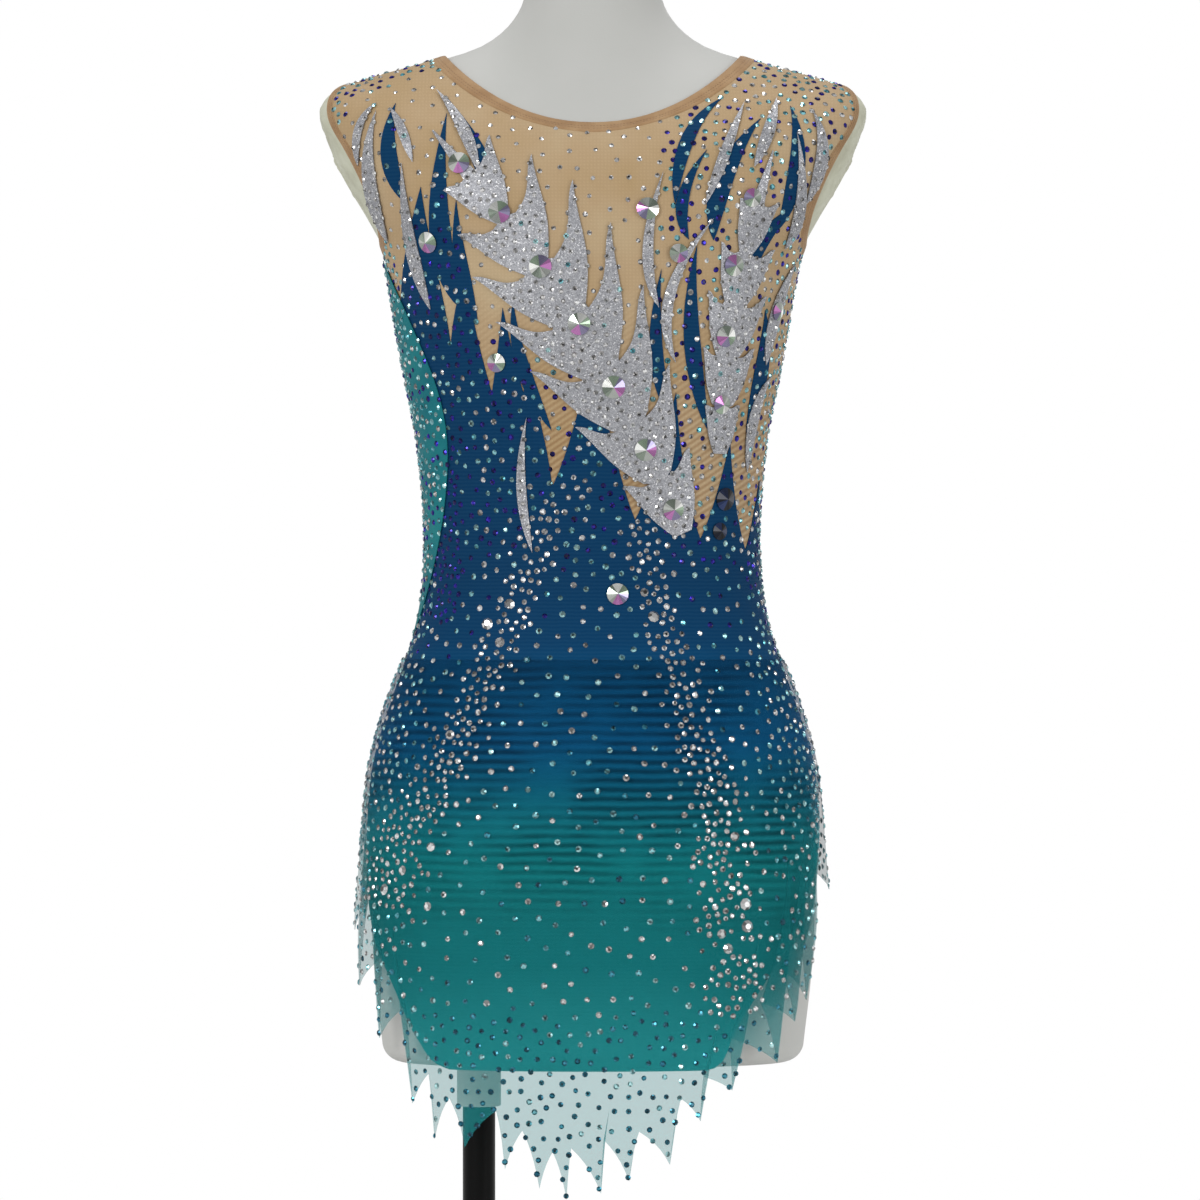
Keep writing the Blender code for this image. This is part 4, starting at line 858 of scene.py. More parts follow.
faces += [[end, start, start + cells, end + cells] for start, end in zip(ring, ring[1:])]
body_gusset = make_piece("body_gusset_strip", np.stack(points), faces, dyed_lycra)

# Two rows of teal stitches hold the elastic in each leg edge
LEG_STITCH_LIFTS = (3.0, 8.5)

teal_thread, tree, shader, place = start_material(
    "teal_thread", {"Roughness": 0.55, "IOR": 1.5, "Sheen Weight": 0.3})
twist = add(tree, "ShaderNodeTexNoise", {"Scale": 1500.0, "Detail": 1.0}, {"Vector": place}).outputs["Fac"]
tree.links.new(add(tree, "ShaderNodeValToRGB", {"stops": ((0.3, "#0F4E54"), (0.7, "#2A7A80"))},
                   {"Fac": twist}).outputs["Color"], shader.inputs["Base Color"])

LEG_STITCH_LOW = 12.0       # level below which the rows have passed under the form
LEG_STITCH_TURN = 89.5      # furthest turn, just short of the side seam
THREAD_LIFT = 0.05          # of the thread above the cloth

leg_outlines = {"back": (LEG_BACK_LEFT, LEG_BACK_RIGHT), "front": (LEG_FRONT, LEG_FRONT)}
for side_name, half_outlines in leg_outlines.items():
    stitch_lines = []
    for side, half_outline in zip((-1.0, 1.0), half_outlines):
        edge = smooth_edge(half_outline, LEG_CELLS)
        edge = edge[edge[:, 1] > LEG_STITCH_LOW]
        run = np.gradient(edge * (MM_PER_DEGREE, 1.0), axis=0)
        run /= np.linalg.norm(run, axis=1, keepdims=True)
        for lift in LEG_STITCH_LIFTS:
            row = edge + np.stack((run[:, 1] / MM_PER_DEGREE, -run[:, 0]), axis=1) * lift
            turn = side * np.clip(row[:, 0], 0.0, LEG_STITCH_TURN)
            turn = 180.0 - turn if side_name == "front" else turn
            above = np.full(turn.shape, BODY_LAYER[1] + THREAD_LIFT)
            stitch_lines.append(laid_on(form_surface, turn, row[:, 1], above))
    sewn_rows(f"leg_stitches_{side_name}", stitch_lines, teal_thread)

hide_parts("body_back")
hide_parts("body_front")
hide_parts("body_gusset")


# Skirt
# One layer of sheer stretch mesh, front and back, sewn into a seam below the waist and split at the
# sides. It clings to the hips, hangs free below them, and its raw hem is cut into long points.
SKIRT_LAYER = (0.0, 0.7)
SKIRT_SEAM = 301.0
SKIRT_ROWS = {"back": 225, "front": 170}
SKIRT_ROW_SPACING = 1.25
HEM_CELLS = 5
HEM_HOLLOW = {"turn": 0.42, "up": 0.56}
PLACING_STEPS = 40

# Level, half width, depth at the back and front, and fullness of the skirt's inner face
SKIRT_SECTIONS = np.array((
    (-95, 168.0, 125.0, 115.0, 2.30), (-50, 170.0, 125.6, 115.0, 2.30), (0, 173.0, 126.0, 115.0, 2.30),
    (50, 176.5, 126.0, 114.0, 2.30), (100, 178.5, 125.6, 113.0, 2.28), (150, 174.6, 124.6, 111.5, 2.25),
    (184, 172.0, 123.0, 110.0, 2.25), (219, 168.2, 120.0, 108.6, 2.22), (247, 161.6, 114.8, 106.0, 2.20),
    (271, 154.0, 109.3, 103.4, 2.20), (287, 147.9, 104.6, 100.6, 2.19), (301, 141.8, 99.6, 96.8, 2.18),
))
HEM_WAVE = {"rise": 4.0, "starts": 150.0, "full": -20.0, "waves": 9.0}

# Place across and height of each notch, then of the tip of the point after it, as seen from behind
HEM_BACK = (
    (-176.0, 142.0, -178.5, 98.0), (-166.5, 120.0, -173.0, 58.0), (-155.0, 81.0, -157.0, 21.0),
    (-139.0, 46.0, -136.0, -26.0), (-121.0, -3.0, -116.0, -50.0), (-102.0, -20.0, -91.5, -56.0),
    (-70.5, -29.0, -64.5, -72.0), (-52.5, -43.5, -40.0, -86.0), (-30.0, -59.0, -19.5, -94.0),
    (-16.0, -56.0, 6.0, -89.0), (8.0, -49.5, 26.0, -80.0), (33.0, -43.5, 55.5, -68.0),
    (64.0, -20.0, 80.0, -37.0), (82.0, -4.5, 104.0, -15.0), (101.0, 24.0, 133.5, 4.5),
    (123.0, 49.0, 147.0, 34.0), (136.5, 73.0, 158.0, 49.0), (150.0, 107.0, 156.0, 90.0),
)
HEM_BACK_END = (161.0, 150.0)
HEM_FRONT = (
    (176.0, 172.0, 178.0, 128.0), (163.0, 142.0, 164.0, 104.0), (142.0, 114.0, 144.0, 76.0),
    (118.0, 90.0, 120.0, 54.0), (92.0, 72.0, 92.0, 38.0), (64.0, 58.0, 62.0, 24.0),
    (34.0, 50.0, 30.0, 16.0), (4.0, 46.0, -4.0, 13.0), (-30.0, 50.0, -38.0, 20.0),
    (-60.0, 58.0, -70.0, 30.0), (-92.0, 74.0, -102.0, 46.0), (-120.0, 94.0, -130.0, 64.0),
    (-144.0, 118.0, -153.0, 84.0), (-163.0, 144.0, -172.0, 104.0),
)
HEM_FRONT_END = (-175.0, 170.0)


def skirt_surface(turn, level):
    """Points on the skirt's inner face, which waves gently where it hangs free"""
    turn, level = np.broadcast_arrays(np.asarray(turn, dtype=float), np.asarray(level, dtype=float))
    _, half_width, back, front, fullness = np.moveaxis(between_sections(SKIRT_SECTIONS, level), -1, 0)
    sine, cosine = np.sin(np.radians(turn)), np.cos(np.radians(turn))
    free = np.clip((HEM_WAVE["starts"] - level) / (HEM_WAVE["starts"] - HEM_WAVE["full"]), 0.0, 1.0)
    wave = HEM_WAVE["rise"] * free ** 2 * np.sin(np.radians(turn * HEM_WAVE["waves"]))
    depth = np.where(cosine > 0, back, front)
    power = 2.0 / fullness
    across = (half_width + wave) * signed_power(sine, power)
    along = -(depth + wave) * signed_power(cosine, power)
    return np.stack((across, along, level), axis=-1)


def turn_of(across, half_width, fullness):
    reach = np.clip(np.abs(across) / half_width, 0.0, 1.0)
    return np.sign(across) * np.degrees(np.arcsin(reach ** (fullness / 2.0)))


def place_on_skirt(across, height, front=False):
    section = between_sections(SKIRT_SECTIONS, height)
    turn = turn_of(np.asarray(across, dtype=float), section[..., 1], section[..., 4])
    return 180.0 - turn if front else turn


# Sheer nylon mesh in the same dye. Each face of the thin shell lets most light by, so the cloth is deep
# over the lycra and pale over the form or the light. Across the hips it is drawn into fine ripples, whose troughs
# are darkened in its colour as painted shade
RIPPLE_PITCH = 3.4
sheer_mesh, tree, shader, place = start_material(
    "sheer_mesh", {"Roughness": 0.6, "IOR": 1.45, "Alpha": 0.31,
                   "Specular IOR Level": 0.05, "Sheen Weight": 0.012})
ripples = add(tree, "ShaderNodeTexWave", {
    "bands_direction": "Z", "Scale": 1000.0 / RIPPLE_PITCH / 20.0 * math.pi, "Distortion": 2.2, "Detail": 2.0,
    "Detail Scale": 0.35}, {"Vector": place}).outputs["Fac"]
height = add(tree, "ShaderNodeSeparateXYZ", {}, {"Vector": place}).outputs["Z"]
over_hips = add(tree, "ShaderNodeValToRGB",
                {"stops": ((0.05, "#202020"), (0.35, "#FFFFFF"), (0.85, "#FFFFFF"), (1.0, "#808080"))},
                {"Fac": add(tree, "ShaderNodeMapRange",
                            {"From Min": 0.36, "From Max": 0.60}, {"Value": height}).outputs[0]}).outputs["Color"]
patchy = add(tree, "ShaderNodeTexNoise", {"Scale": 14.0, "Detail": 2.0}, {"Vector": place}).outputs["Fac"]
patches = add(tree, "ShaderNodeMapRange", {"From Min": 0.38, "From Max": 0.62}, {"Value": patchy}).outputs[0]
drawn = add(tree, "ShaderNodeMath", {"operation": "MULTIPLY"}, {0: over_hips, 1: patches}).outputs[0]
painted_ripple_shade = add(tree, "ShaderNodeMath", {"operation": "MULTIPLY"}, {0: drawn, 1: ripples}).outputs[0]
# Painted shade: where the ripples run, the dye is multiplied towards a dark grey-blue
shaded = add(tree, "ShaderNodeMix", {"data_type": "RGBA", "blend_type": "MULTIPLY"},
             {"Factor": painted_ripple_shade, "A": dyed_colour(tree, place, 0.02)})
shaded.inputs["B"].default_value = linear("#4C5862")
tree.links.new(shaded.outputs["Result"], shader.inputs["Base Color"])
mesh_bump = add(tree, "ShaderNodeBump", {"Strength": 0.5, "Distance": 0.0005}, {"Height": painted_ripple_shade})
tree.links.new(mesh_bump.outputs["Normal"], shader.inputs["Normal"])

# Ripples where the mesh is drawn round the hips, then soft folds towards the hem
SKIRT_CREASES = (
    (-66, 292, -28, 284, 1.7, 0.45), (-24, 294, 30, 288, 1.7, 0.5), (22, 284, 60, 292, 1.7, 0.45),
    (-52, 276, -4, 272, 1.8, 0.5), (0, 278, 46, 274, 1.8, 0.5), (-34, 264, 24, 262, 1.8, 0.5),
    (28, 266, 64, 262, 1.8, 0.45), (-60, 258, -26, 254, 1.9, 0.5), (-18, 250, 40, 250, 1.9, 0.5),
    (-44, 242, 6, 240, 1.9, 0.45), (12, 238, 56, 240, 1.9, 0.5), (-26, 228, 32, 228, 2.0, 0.45),
    (-56, 224, -20, 220, 2.0, 0.4), (-10, 216, 44, 216, 2.0, 0.45), (-40, 206, 10, 206, 2.1, 0.4),
    (6, 202, 50, 204, 2.1, 0.4), (-28, 192, 26, 194, 2.2, 0.4), (-6, 182, 40, 184, 2.2, 0.35),
    (66, 250, 74, 120, 5.0, 1.2), (-72, 240, -78, 110, 5.0, 1.2), (34, 120, 38, -60, 7.0, 1.4),
    (-30, 110, -34, -70, 7.0, 1.4), (6, 90, 2, -90, 7.0, 1.2), (-54, 150, -58, -20, 6.0, 1.2),
    (52, 150, 56, 10, 6.0, 1.2), (-78, 200, -84, 130, 4.0, 1.0), (80, 230, 84, 150, 4.0, 0.9),
)


def skirt_panel(name, side_name, hem, hem_end):
    """One panel of mesh from the seam to its hem of points"""
    front = side_name == "front"
    corners = [spot for row in hem for spot in (row[:2], row[2:])] + [hem_end]
    seen = pointed_edge(corners, HEM_HOLLOW["turn"], HEM_HOLLOW["up"], HEM_CELLS)
    foot = np.stack((place_on_skirt(seen[:, 0], seen[:, 1], front), seen[:, 1]), axis=-1)
    middle = 180.0 if front else 0.0
    reach = 90.0 - SEAM_HALF_GAP
    heads = np.linspace(middle - reach, middle + reach, len(foot))
    share = (np.linspace(0.0, 1.0, SKIRT_ROWS[side_name]) ** SKIRT_ROW_SPACING)[:, None]
    turn = heads * (1 - share ** 2) + foot[:, 0] * share ** 2
    level = SKIRT_SEAM * (1 - share) + foot[:, 1] * share
    relief = crease_relief(180.0 - turn if front else turn, level, SKIRT_CREASES)
    return cloth_shell(name, skirt_surface, turn[::-1], level[::-1], SKIRT_LAYER, sheer_mesh,
                       relief[::-1])


skirt_back = skirt_panel("skirt_back_panel", "back", HEM_BACK, HEM_BACK_END)
skirt_front = skirt_panel("skirt_front_panel", "front", HEM_FRONT, HEM_FRONT_END)
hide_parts("skirt_back")
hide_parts("skirt_front")


# Silver foil sprays
# Two leafy sprays of glitter foil on a felt backing, cut with a knife and pressed on hot over the yoke
# and the ends of the tongues.
FOIL_LAYER = (2.9, 3.6)
CUT_SPACING = 4.5           # distance between points inside a cut piece
OUTLINE_SPACING = 2.5
STEM_SWELL = 1.15
STEM_TAPER = {"loss": 0.8, "power": 6}
LEAF_OUTLINE = ((0.0, 1.0), (0.25, 0.74), (0.5, 0.54), (0.75, 0.30), (1.0, 0.0))
LEAF_CURL = 0.05
LEAF_CELLS = 8
FOIL_SPRAYS = {
    "left": {"root": (66, 392), "bend": (-6, 560), "top": (-118, 690), "half_widths": (3, 13), "lean": 38,
             "leaves_up": (44, 62, 78, 84, 78, 62, 44), "leaves_down": (34, 48, 58, 60, 54, 42, 30)},
    "right": {"root": (92, 452), "bend": (94, 560), "top": (132, 676), "half_widths": (2, 8), "lean": 28,
              "leaves_up": (22, 30, 34, 32, 26), "leaves_down": (20, 26, 30, 28, 22)},
}


def place_on_form(across, height, front=False):
    """Turn and level of spots given as they are seen from straight behind or in front"""
    across, height = np.asarray(across, dtype=float), np.asarray(height, dtype=float)
    level = height.copy()
    for _ in range(PLACING_STEPS):
        section = between_sections(FORM_SECTIONS, level)
        turn = turn_of(across, section[..., 3], section[..., 6])
        centre = section[..., 2] if front else section[..., 1]
        dip = (section[..., 0] - centre) * np.cos(np.radians(turn)) ** CENTRE_DIP_POWER
        level += 0.5 * (height + dip - level)
    return (180.0 - turn if front else turn), level


def even_steps(outline, spacing):
    """The same closed outline with its long sides cut into steps of about a given length"""
    steps = []
    for start, end in zip(outline, np.roll(outline, -1, axis=0)):
        count = max(1, int(round(np.linalg.norm(end - start) / spacing)))
        steps.append(start + (end - start) * (np.arange(count) / count)[:, None])
    return np.concatenate(steps)


def cut_piece(name, outlines, layer, material, front=False):
    """Thin piece cut to closed outlines, given as seen from behind or in front, and laid on the form"""
    points, faces = [], []
    for outline in outlines:
        rim = even_steps(np.array(outline, dtype=float), OUTLINE_SPACING)
        low, high = rim.min(axis=0), rim.max(axis=0)
        inside = [Vector((across, height)) for across in np.arange(low[0], high[0], CUT_SPACING)
                  for height in np.arange(low[1], high[1], CUT_SPACING)]
        edges = [(mark, (mark + 1) % len(rim)) for mark in range(len(rim))]
        spots, _, triangles, _, _, _ = delaunay_2d_cdt(
            [Vector(spot) for spot in rim] + inside, edges, [], 1, 1e-4)
        used = sorted({mark for triangle in triangles for mark in triangle})
        renamed = {mark: len(points) + place for place, mark in enumerate(used)}
        points += [tuple(spots[mark]) for mark in used]
        faces += [[renamed[mark] for mark in triangle] for triangle in triangles]
    turn, level = place_on_form(*np.array(points).T, front)
    outer, _ = laid_on(form_surface, turn, level, np.full(turn.shape, layer[1]))
    inner, _ = laid_on(form_surface, turn, level, np.full(turn.shape, layer[0]))
    turned = [face[::-1] for face in faces]
    if front:
        faces, turned = turned, faces
    sides = {(face[place], face[(place + 1) % 3]) for face in faces for place in range(3)}
    count = len(points)
    rims = [[end, start, start + count, end + count] for start, end in sides if (end, start) not in sides]
    shell = faces + [[mark + count for mark in face] for face in turned] + rims
    return make_piece(name, np.stack((outer, inner)), shell, material)


def spray_outline(spray):
    """Closed outline of a stem with pointed, slightly curled leaves on both edges"""
    root, bend, top = (np.array(spray[key], dtype=float) for key in ("root", "bend", "top"))
    thin, thick = spray["half_widths"]
    lean = math.radians(spray["lean"])
    cells = 2 * (len(spray["leaves_up"]) + 1)

    def stem(share):
        spot = root * (1 - share) ** 2 + bend * 2 * share * (1 - share) + top * share ** 2
        along = (bend - root) * (1 - share) + (top - bend) * share
        half = thin + (thick - thin) * math.sin(math.pi * min(share * STEM_SWELL, 1.0))
        half *= 1.0 - STEM_TAPER["loss"] * share ** STEM_TAPER["power"]
        return spot, along / np.linalg.norm(along), half

    profile = smooth_edge(LEAF_OUTLINE, 4)
    edges = []
    for sign, lengths in ((1.0, spray["leaves_up"]), (-1.0, spray["leaves_down"])):
        edge = []
        for leaf, length in enumerate(lengths):
            start, _, _ = stem(2 * leaf / cells)
            end, _, _ = stem((2 * leaf + 2) / cells)
            spot, along, half = stem((2 * leaf + 1) / cells)
            outward = np.array((along[1], -along[0])) * sign
            heading = along * math.cos(lean) + outward * math.sin(lean)
            aside = np.array((heading[1], -heading[0])) * sign
            base = spot + outward * half
            half_base = along * 0.5 * np.linalg.norm(end - start)
            middle = base + heading * length * profile[:, :1]
            middle = middle + aside * length * LEAF_CURL * np.sin(math.pi * profile[:, :1] * 1.5)
            spread = half_base * profile[:, 1:]
            edge += list((middle - spread)[1:]) + list((middle + spread)[-2:0:-1])
        spot, along, half = stem(1.0)
        edge.append(spot + np.array((along[1], -along[0])) * sign * half)
        edges.append(edge)
    return np.array(edges[0] + edges[1][::-1])


# Glitter foil: silvery polyester flakes in clear glue, so it is bright and grainy. Each flake gets a random grey,
# and the brightest are painted near white as fixed sparkles. Real flakes are 0.2 mm wide and are drawn about 0.7
# mm wide
FLAKE_WIDTH = 0.7
glitter_foil, tree, shader, place = start_material("glitter_foil", {"Metallic": 0.55, "Roughness": 0.5})
flakes = add(tree, "ShaderNodeTexVoronoi", {"Scale": 1000.0 / FLAKE_WIDTH}, {"Vector": place})
flake_tone_and_glint = add(tree, "ShaderNodeSeparateColor", {}, {"Color": flakes.outputs["Color"]}).outputs["Red"]
# Random grey for each flake, running up to near white at the top: painted sparkles
tree.links.new(add(tree, "ShaderNodeValToRGB", {"stops": (
    (0.0, "#808186"), (0.5, "#A3A4A9"), (0.88, "#B2B3B8"), (1.0, "#F4F4F6"))},
                   {"Fac": flake_tone_and_glint}).outputs["Color"], shader.inputs["Base Color"])
tilt = add(tree, "ShaderNodeBump", {"Strength": 0.6, "Distance": 0.0003}, {"Height": flake_tone_and_glint})
tree.links.new(tilt.outputs["Normal"], shader.inputs["Normal"])

foils = []
for side_name, spray in FOIL_SPRAYS.items():
    foil = cut_piece(f"silver_foil_spray_{side_name}", [spray_outline(spray)], FOIL_LAYER, glitter_foil)
    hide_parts(f"foil_spray_{side_name}")
    foils.append(foil)

# Slim leaves of the same foil between and beyond the sprays: root, middle, tip and greatest half width
FOIL_SLIVERS = (
    ((-118, 560), (-133, 610), (-140, 668), 4.5), ((-132, 668), (-141, 692), (-150, 708), 3.5),
    ((60, 520), (56, 570), (88, 626), 4.0), ((126, 520), (134, 560), (148, 596), 4.0),
    ((140, 606), (152, 640), (150, 690), 4.0), ((82, 636), (98, 676), (112, 712), 4.0),
    ((-44, 380), (-52, 430), (-48, 480), 3.5), ((112, 440), (118, 484), (130, 512), 3.5),
    ((-150, 612), (-164, 660), (-160, 706), 5.0), ((-84, 660), (-96, 692), (-116, 722), 4.5),
    ((-172, 668), (-172, 694), (-160, 712), 3.0), ((118, 664), (130, 692), (136, 716), 4.5),
    ((156, 640), (168, 676), (162, 706), 4.5), ((48, 560), (40, 604), (52, 660), 4.0),
)


def leaf_outline(root, middle, tip, half_width):
    """Closed outline of a leaf along a curve, pointed at both ends and widest below its middle"""
    line = curved_side(root, middle, tip, LEAF_CELLS * 2)
    run = np.gradient(line, axis=0)
    run /= np.linalg.norm(run, axis=1, keepdims=True)
    share = np.linspace(0.0, 1.0, len(line))
    half = half_width * np.sin(math.pi * share ** 0.8)[:, None]
    aside = np.stack((run[:, 1], -run[:, 0]), axis=1) * half
    return np.concatenate((line + aside, (line - aside)[-2:0:-1]))


foils.append(cut_piece("silver_foil_slivers", [leaf_outline(*row) for row in FOIL_SLIVERS], FOIL_LAYER,
                       glitter_foil))


# Blue leaves
# Flame-shaped leaves of the deep blue lycra, pressed on the nude yoke beside the sprays and on the
# front, and one long teal leaf on the left side seam.
BLUE_LEAF_LAYER = (2.0, 2.6)
SIDE_LEAF_LAYER = (3.2, 3.8)

# Root, middle and tip of each leaf, as places across and heights, and its greatest half width
BLUE_LEAVES_BACK = (
    ((-104, 470), (-124, 556), (-126, 650), 17.0), ((-62, 440), (-90, 510), (-92, 590), 13.0),
    ((-30, 416), (-44, 462), (-46, 520), 9.0),
    ((-96, 560), (-112, 620), (-108, 704), 8.0), ((-84, 548), (-96, 590), (-100, 640), 5.5),
    ((-72, 640), (-84, 672), (-108, 716), 6.5), ((-30, 470), (-52, 520), (-58, 566), 5.0),
    ((84, 470), (72, 540), (76, 606), 6.0), ((104, 560), (116, 600), (150, 640), 7.0),
    ((88, 610), (96, 656), (124, 700), 7.5), ((112, 470), (124, 520), (126, 560), 5.0),
    ((56, 480), (46, 530), (50, 588), 5.0), ((70, 610), (66, 640), (84, 676), 4.5),
    ((-138, 640), (-150, 676), (-146, 712), 6.0), ((136, 620), (150, 668), (146, 710), 6.0),
    ((60, 636), (70, 684), (96, 716), 5.0),
)
BLUE_LEAVES_FRONT = (
    ((96, 560), (108, 620), (104, 690), 8.0), ((-96, 560), (-108, 620), (-104, 690), 8.0),
    ((70, 560), (62, 606), (72, 650), 5.5), ((-70, 560), (-62, 606), (-72, 650), 5.5),
    ((34, 540), (24, 580), (30, 616), 4.5), ((-34, 530), (-24, 572), (-30, 606), 4.5),
)


blue_leaves_back = cut_piece("blue_leaves_back", [leaf_outline(*row) for row in BLUE_LEAVES_BACK],
                             BLUE_LEAF_LAYER, dyed_lycra)
blue_leaves_front = cut_piece("blue_leaves_front", [leaf_outline(*row) for row in BLUE_LEAVES_FRONT],
                              BLUE_LEAF_LAYER, dyed_lycra, front=True)

# The same lycra from the teal end of the dye bath
teal_lycra, tree, shader, place = start_material(
    "teal_lycra", {"Roughness": 0.6, "IOR": 1.5, "Specular IOR Level": 0.08, "Sheen Weight": 0.012})
cloud = add(tree, "ShaderNodeTexNoise", {"Scale": 22.0, "Detail": 4.0}, {"Vector": place}).outputs["Fac"]
tree.links.new(add(tree, "ShaderNodeValToRGB", {"stops": ((0.3, "#136874"), (0.7, "#1F7F83"))},
                   {"Fac": cloud}).outputs["Color"], shader.inputs["Base Color"])
courses = add(tree, "ShaderNodeTexWave", {
    "bands_direction": "Z", "Scale": 1000.0 / COURSE_PITCH / 20.0 * math.pi, "Distortion": 1.5},
    {"Vector": place})
course_bump = add(tree, "ShaderNodeBump", {"Strength": 0.25, "Distance": 0.0003},
                  {"Height": courses.outputs["Fac"]})
tree.links.new(course_bump.outputs["Normal"], shader.inputs["Normal"])

# Turn of the front and of the back edge of the side leaf, at each level
SIDE_LEAF = ((318, -84, -84), (350, -90, -74), (390, -96, -64), (430, -99, -57), (465, -100, -54),
             (500, -99, -55), (530, -97, -60), (560, -94, -68), (585, -91, -78), (600, -88, -88))
side_edges = smooth_edge(SIDE_LEAF, 4)
side_share = np.linspace(0.0, 1.0, 25)[None, :]
turn = side_edges[:, 1:2] * (1.0 - side_share) + side_edges[:, 2:3] * side_share
level = np.repeat(side_edges[:, :1], turn.shape[1], axis=1)
side_leaf = cloth_shell("teal_side_leaf", form_surface, turn, level, SIDE_LEAF_LAYER, teal_lycra)


# Large stones
# Nineteen pointed round crystals, foiled behind: clear ones with a rainbow coat along the sprays and two
# dark blue ones. Eighteen facets run from a thin girdle to the point of each.
STONE_SIDES = 18
STONE_BACK_SHARE = 0.94
STONE_GIRDLE = 0.9
STONE_HEIGHT_SHARE = 0.24
STONE_LIFT = 0.15
LARGE_STONES = (
    (58, 412, 16, "clear"), (38, 456, 16.5, "clear"), (15, 502, 17, "clear"), (-10, 548, 16.5, "clear"),
    (-38, 590, 17, "clear"), (-68, 630, 16.5, "clear"), (-98, 666, 16, "clear"), (93, 490, 14, "clear"),
    (96, 540, 16, "clear"), (102, 592, 16, "clear"), (116, 642, 14, "clear"), (18, 349, 16, "clear"),
    (-120, 610, 16, "clear"), (-70, 520, 14, "clear"), (96, 420, 17, "dark"), (92, 396, 13, "dark"),
    (40, 632, 16.5, "clear"), (62, 600, 14, "clear"), (134, 560, 14, "clear"),
)
# Colours that neighbouring facets share, three by three round the stone: partly the glass and rainbow coat's own
# tint, partly painted reflections, with a near-white facet on the clear ones as a painted glint
FACET_COLOURS_AND_PAINTED_REFLECTIONS = {
    "clear": ("#FBFBF6", "#8E9A8C", "#B7BAB4", "#C77FBE", "#8D86A6", "#A3B8A0"),
    "dark": ("#2A3C6B", "#0A0C16", "#11182C", "#080910", "#1B2748", "#0C0F1C"),
}
FACETS_ALIKE = 3

# Lead glass on silver foil: it mirrors almost like polished metal, tinted by the rainbow coat, whose play of
# colour is painted facet by facet as fixed reflections and glints
rainbow_crystal, tree, shader, place = start_material(
    "rainbow_crystal", {"Metallic": 0.85, "Roughness": 0.12, "Coat Weight": 0.6, "Coat Roughness": 0.03})
tint_and_painted_light = add(tree, "ShaderNodeVertexColor", {"layer_name": "facet_tint"}).outputs["Color"]
haze = add(tree, "ShaderNodeTexNoise", {"Scale": 180.0, "Detail": 1.0}, {"Vector": place}).outputs["Fac"]
wash = add(tree, "ShaderNodeMix", {"data_type": "RGBA", "blend_type": "MULTIPLY"},
           {"Factor": add(tree, "ShaderNodeMapRange", {"To Max": 0.5},
                          {"Value": haze}).outputs[0], "A": tint_and_painted_light})
wash.inputs["B"].default_value = linear("#C8CDD0")
tree.links.new(wash.outputs["Result"], shader.inputs["Base Color"])


def cloth_tree(pieces):
    """Search tree over the faces of several cloth pieces, with the name of the piece that each face is of"""
    corners, faces, owners = [], [], []
    for piece in pieces:
        faces += [[mark + len(corners) for mark in face.vertices] for face in piece.data.polygons]
        owners += [piece.name] * len(piece.data.polygons)
        corners += [vertex.co.copy() for vertex in piece.data.vertices]
    return BVHTree.FromPolygons(corners, faces), owners


REACH_OUT = 30.0
upper_cloth, _ = cloth_tree([yoke_back, yoke_front, body_back, body_front,
                             blue_leaves_back, blue_leaves_front,
                             side_leaf] + foils)
random = np.random.default_rng(7)
stone_places = []
for number, (across, height, diameter, colour) in enumerate(LARGE_STONES, 1):
    turn, level = place_on_form(across, height)
    far, outward = laid_on(form_surface, turn, level, np.array(REACH_OUT))
    round_body = np.cross((0.0, 0.0, 1.0), outward)
    round_body /= np.linalg.norm(round_body)
    up_body = np.cross(outward, round_body)
    radius = 0.5 * diameter
    angles = np.arange(STONE_SIDES) * 2.0 * math.pi / STONE_SIDES
    spokes = np.cos(angles)[:, None] * round_body + np.sin(angles)[:, None] * up_body
    sunk = []
    for spot in [far] + list(far + spokes * radius * STONE_BACK_SHARE):
        start = Vector((spot + (0.0, 0.0, FORM_UNDERSIDE)) * MM)
        hit = upper_cloth.ray_cast(start, Vector(-outward))
        sunk.append(hit[3] / MM)
    seat = far - outward * (min(sunk) - STONE_LIFT)
    points = np.concatenate((
        seat + spokes * radius * STONE_BACK_SHARE, seat + spokes * radius + outward * STONE_GIRDLE * 0.5,
        seat + spokes * radius + outward * STONE_GIRDLE, [seat + outward * diameter * STONE_HEIGHT_SHARE]))
    faces = grid_faces(3, STONE_SIDES, closed=True)
    faces += [[2 * STONE_SIDES + side, 2 * STONE_SIDES + (side + 1) % STONE_SIDES, 3 * STONE_SIDES]
              for side in range(STONE_SIDES)]
    faces.append(list(range(STONE_SIDES))[::-1])
    stone = make_piece(f"crystal_stone_{number:02d}", points, faces, rainbow_crystal,
                       smooth_below=1.0)
    codes = FACET_COLOURS_AND_PAINTED_REFLECTIONS[colour]
    tints_and_painted_light = stone.data.color_attributes.new("facet_tint", "FLOAT_COLOR", "CORNER")
    start = int(random.integers(STONE_SIDES))
    # Each facet is painted with a colour from the list, standing in for the coat's reflected colours and glints
    for face in stone.data.polygons:
        code = codes[((start + face.index % STONE_SIDES) // FACETS_ALIKE) % len(codes)]
        for corner in face.loop_indices:
            tints_and_painted_light.data[corner].color = linear(code)
    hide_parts(f"large_stone_{number:02d}")
    stone_places.append((seat, radius))


# Small crystals
# Several thousand flat-backed glass stones, foiled behind and glued on one by one: silver-clear on the
# foil and in two trails over the hips, violet and aqua on the blue, sea blue along the hem.
CRYSTAL_SIDES = 8
CRYSTAL_HEIGHT_SHARE = 0.22
TABLE_SHARE = 0.46
CRYSTAL_TILT = 0.09
CANDIDATES = 210000
HASH_CELL = 9.0
GLUE_GAP = 0.03
STONE_MARGIN = 0.35

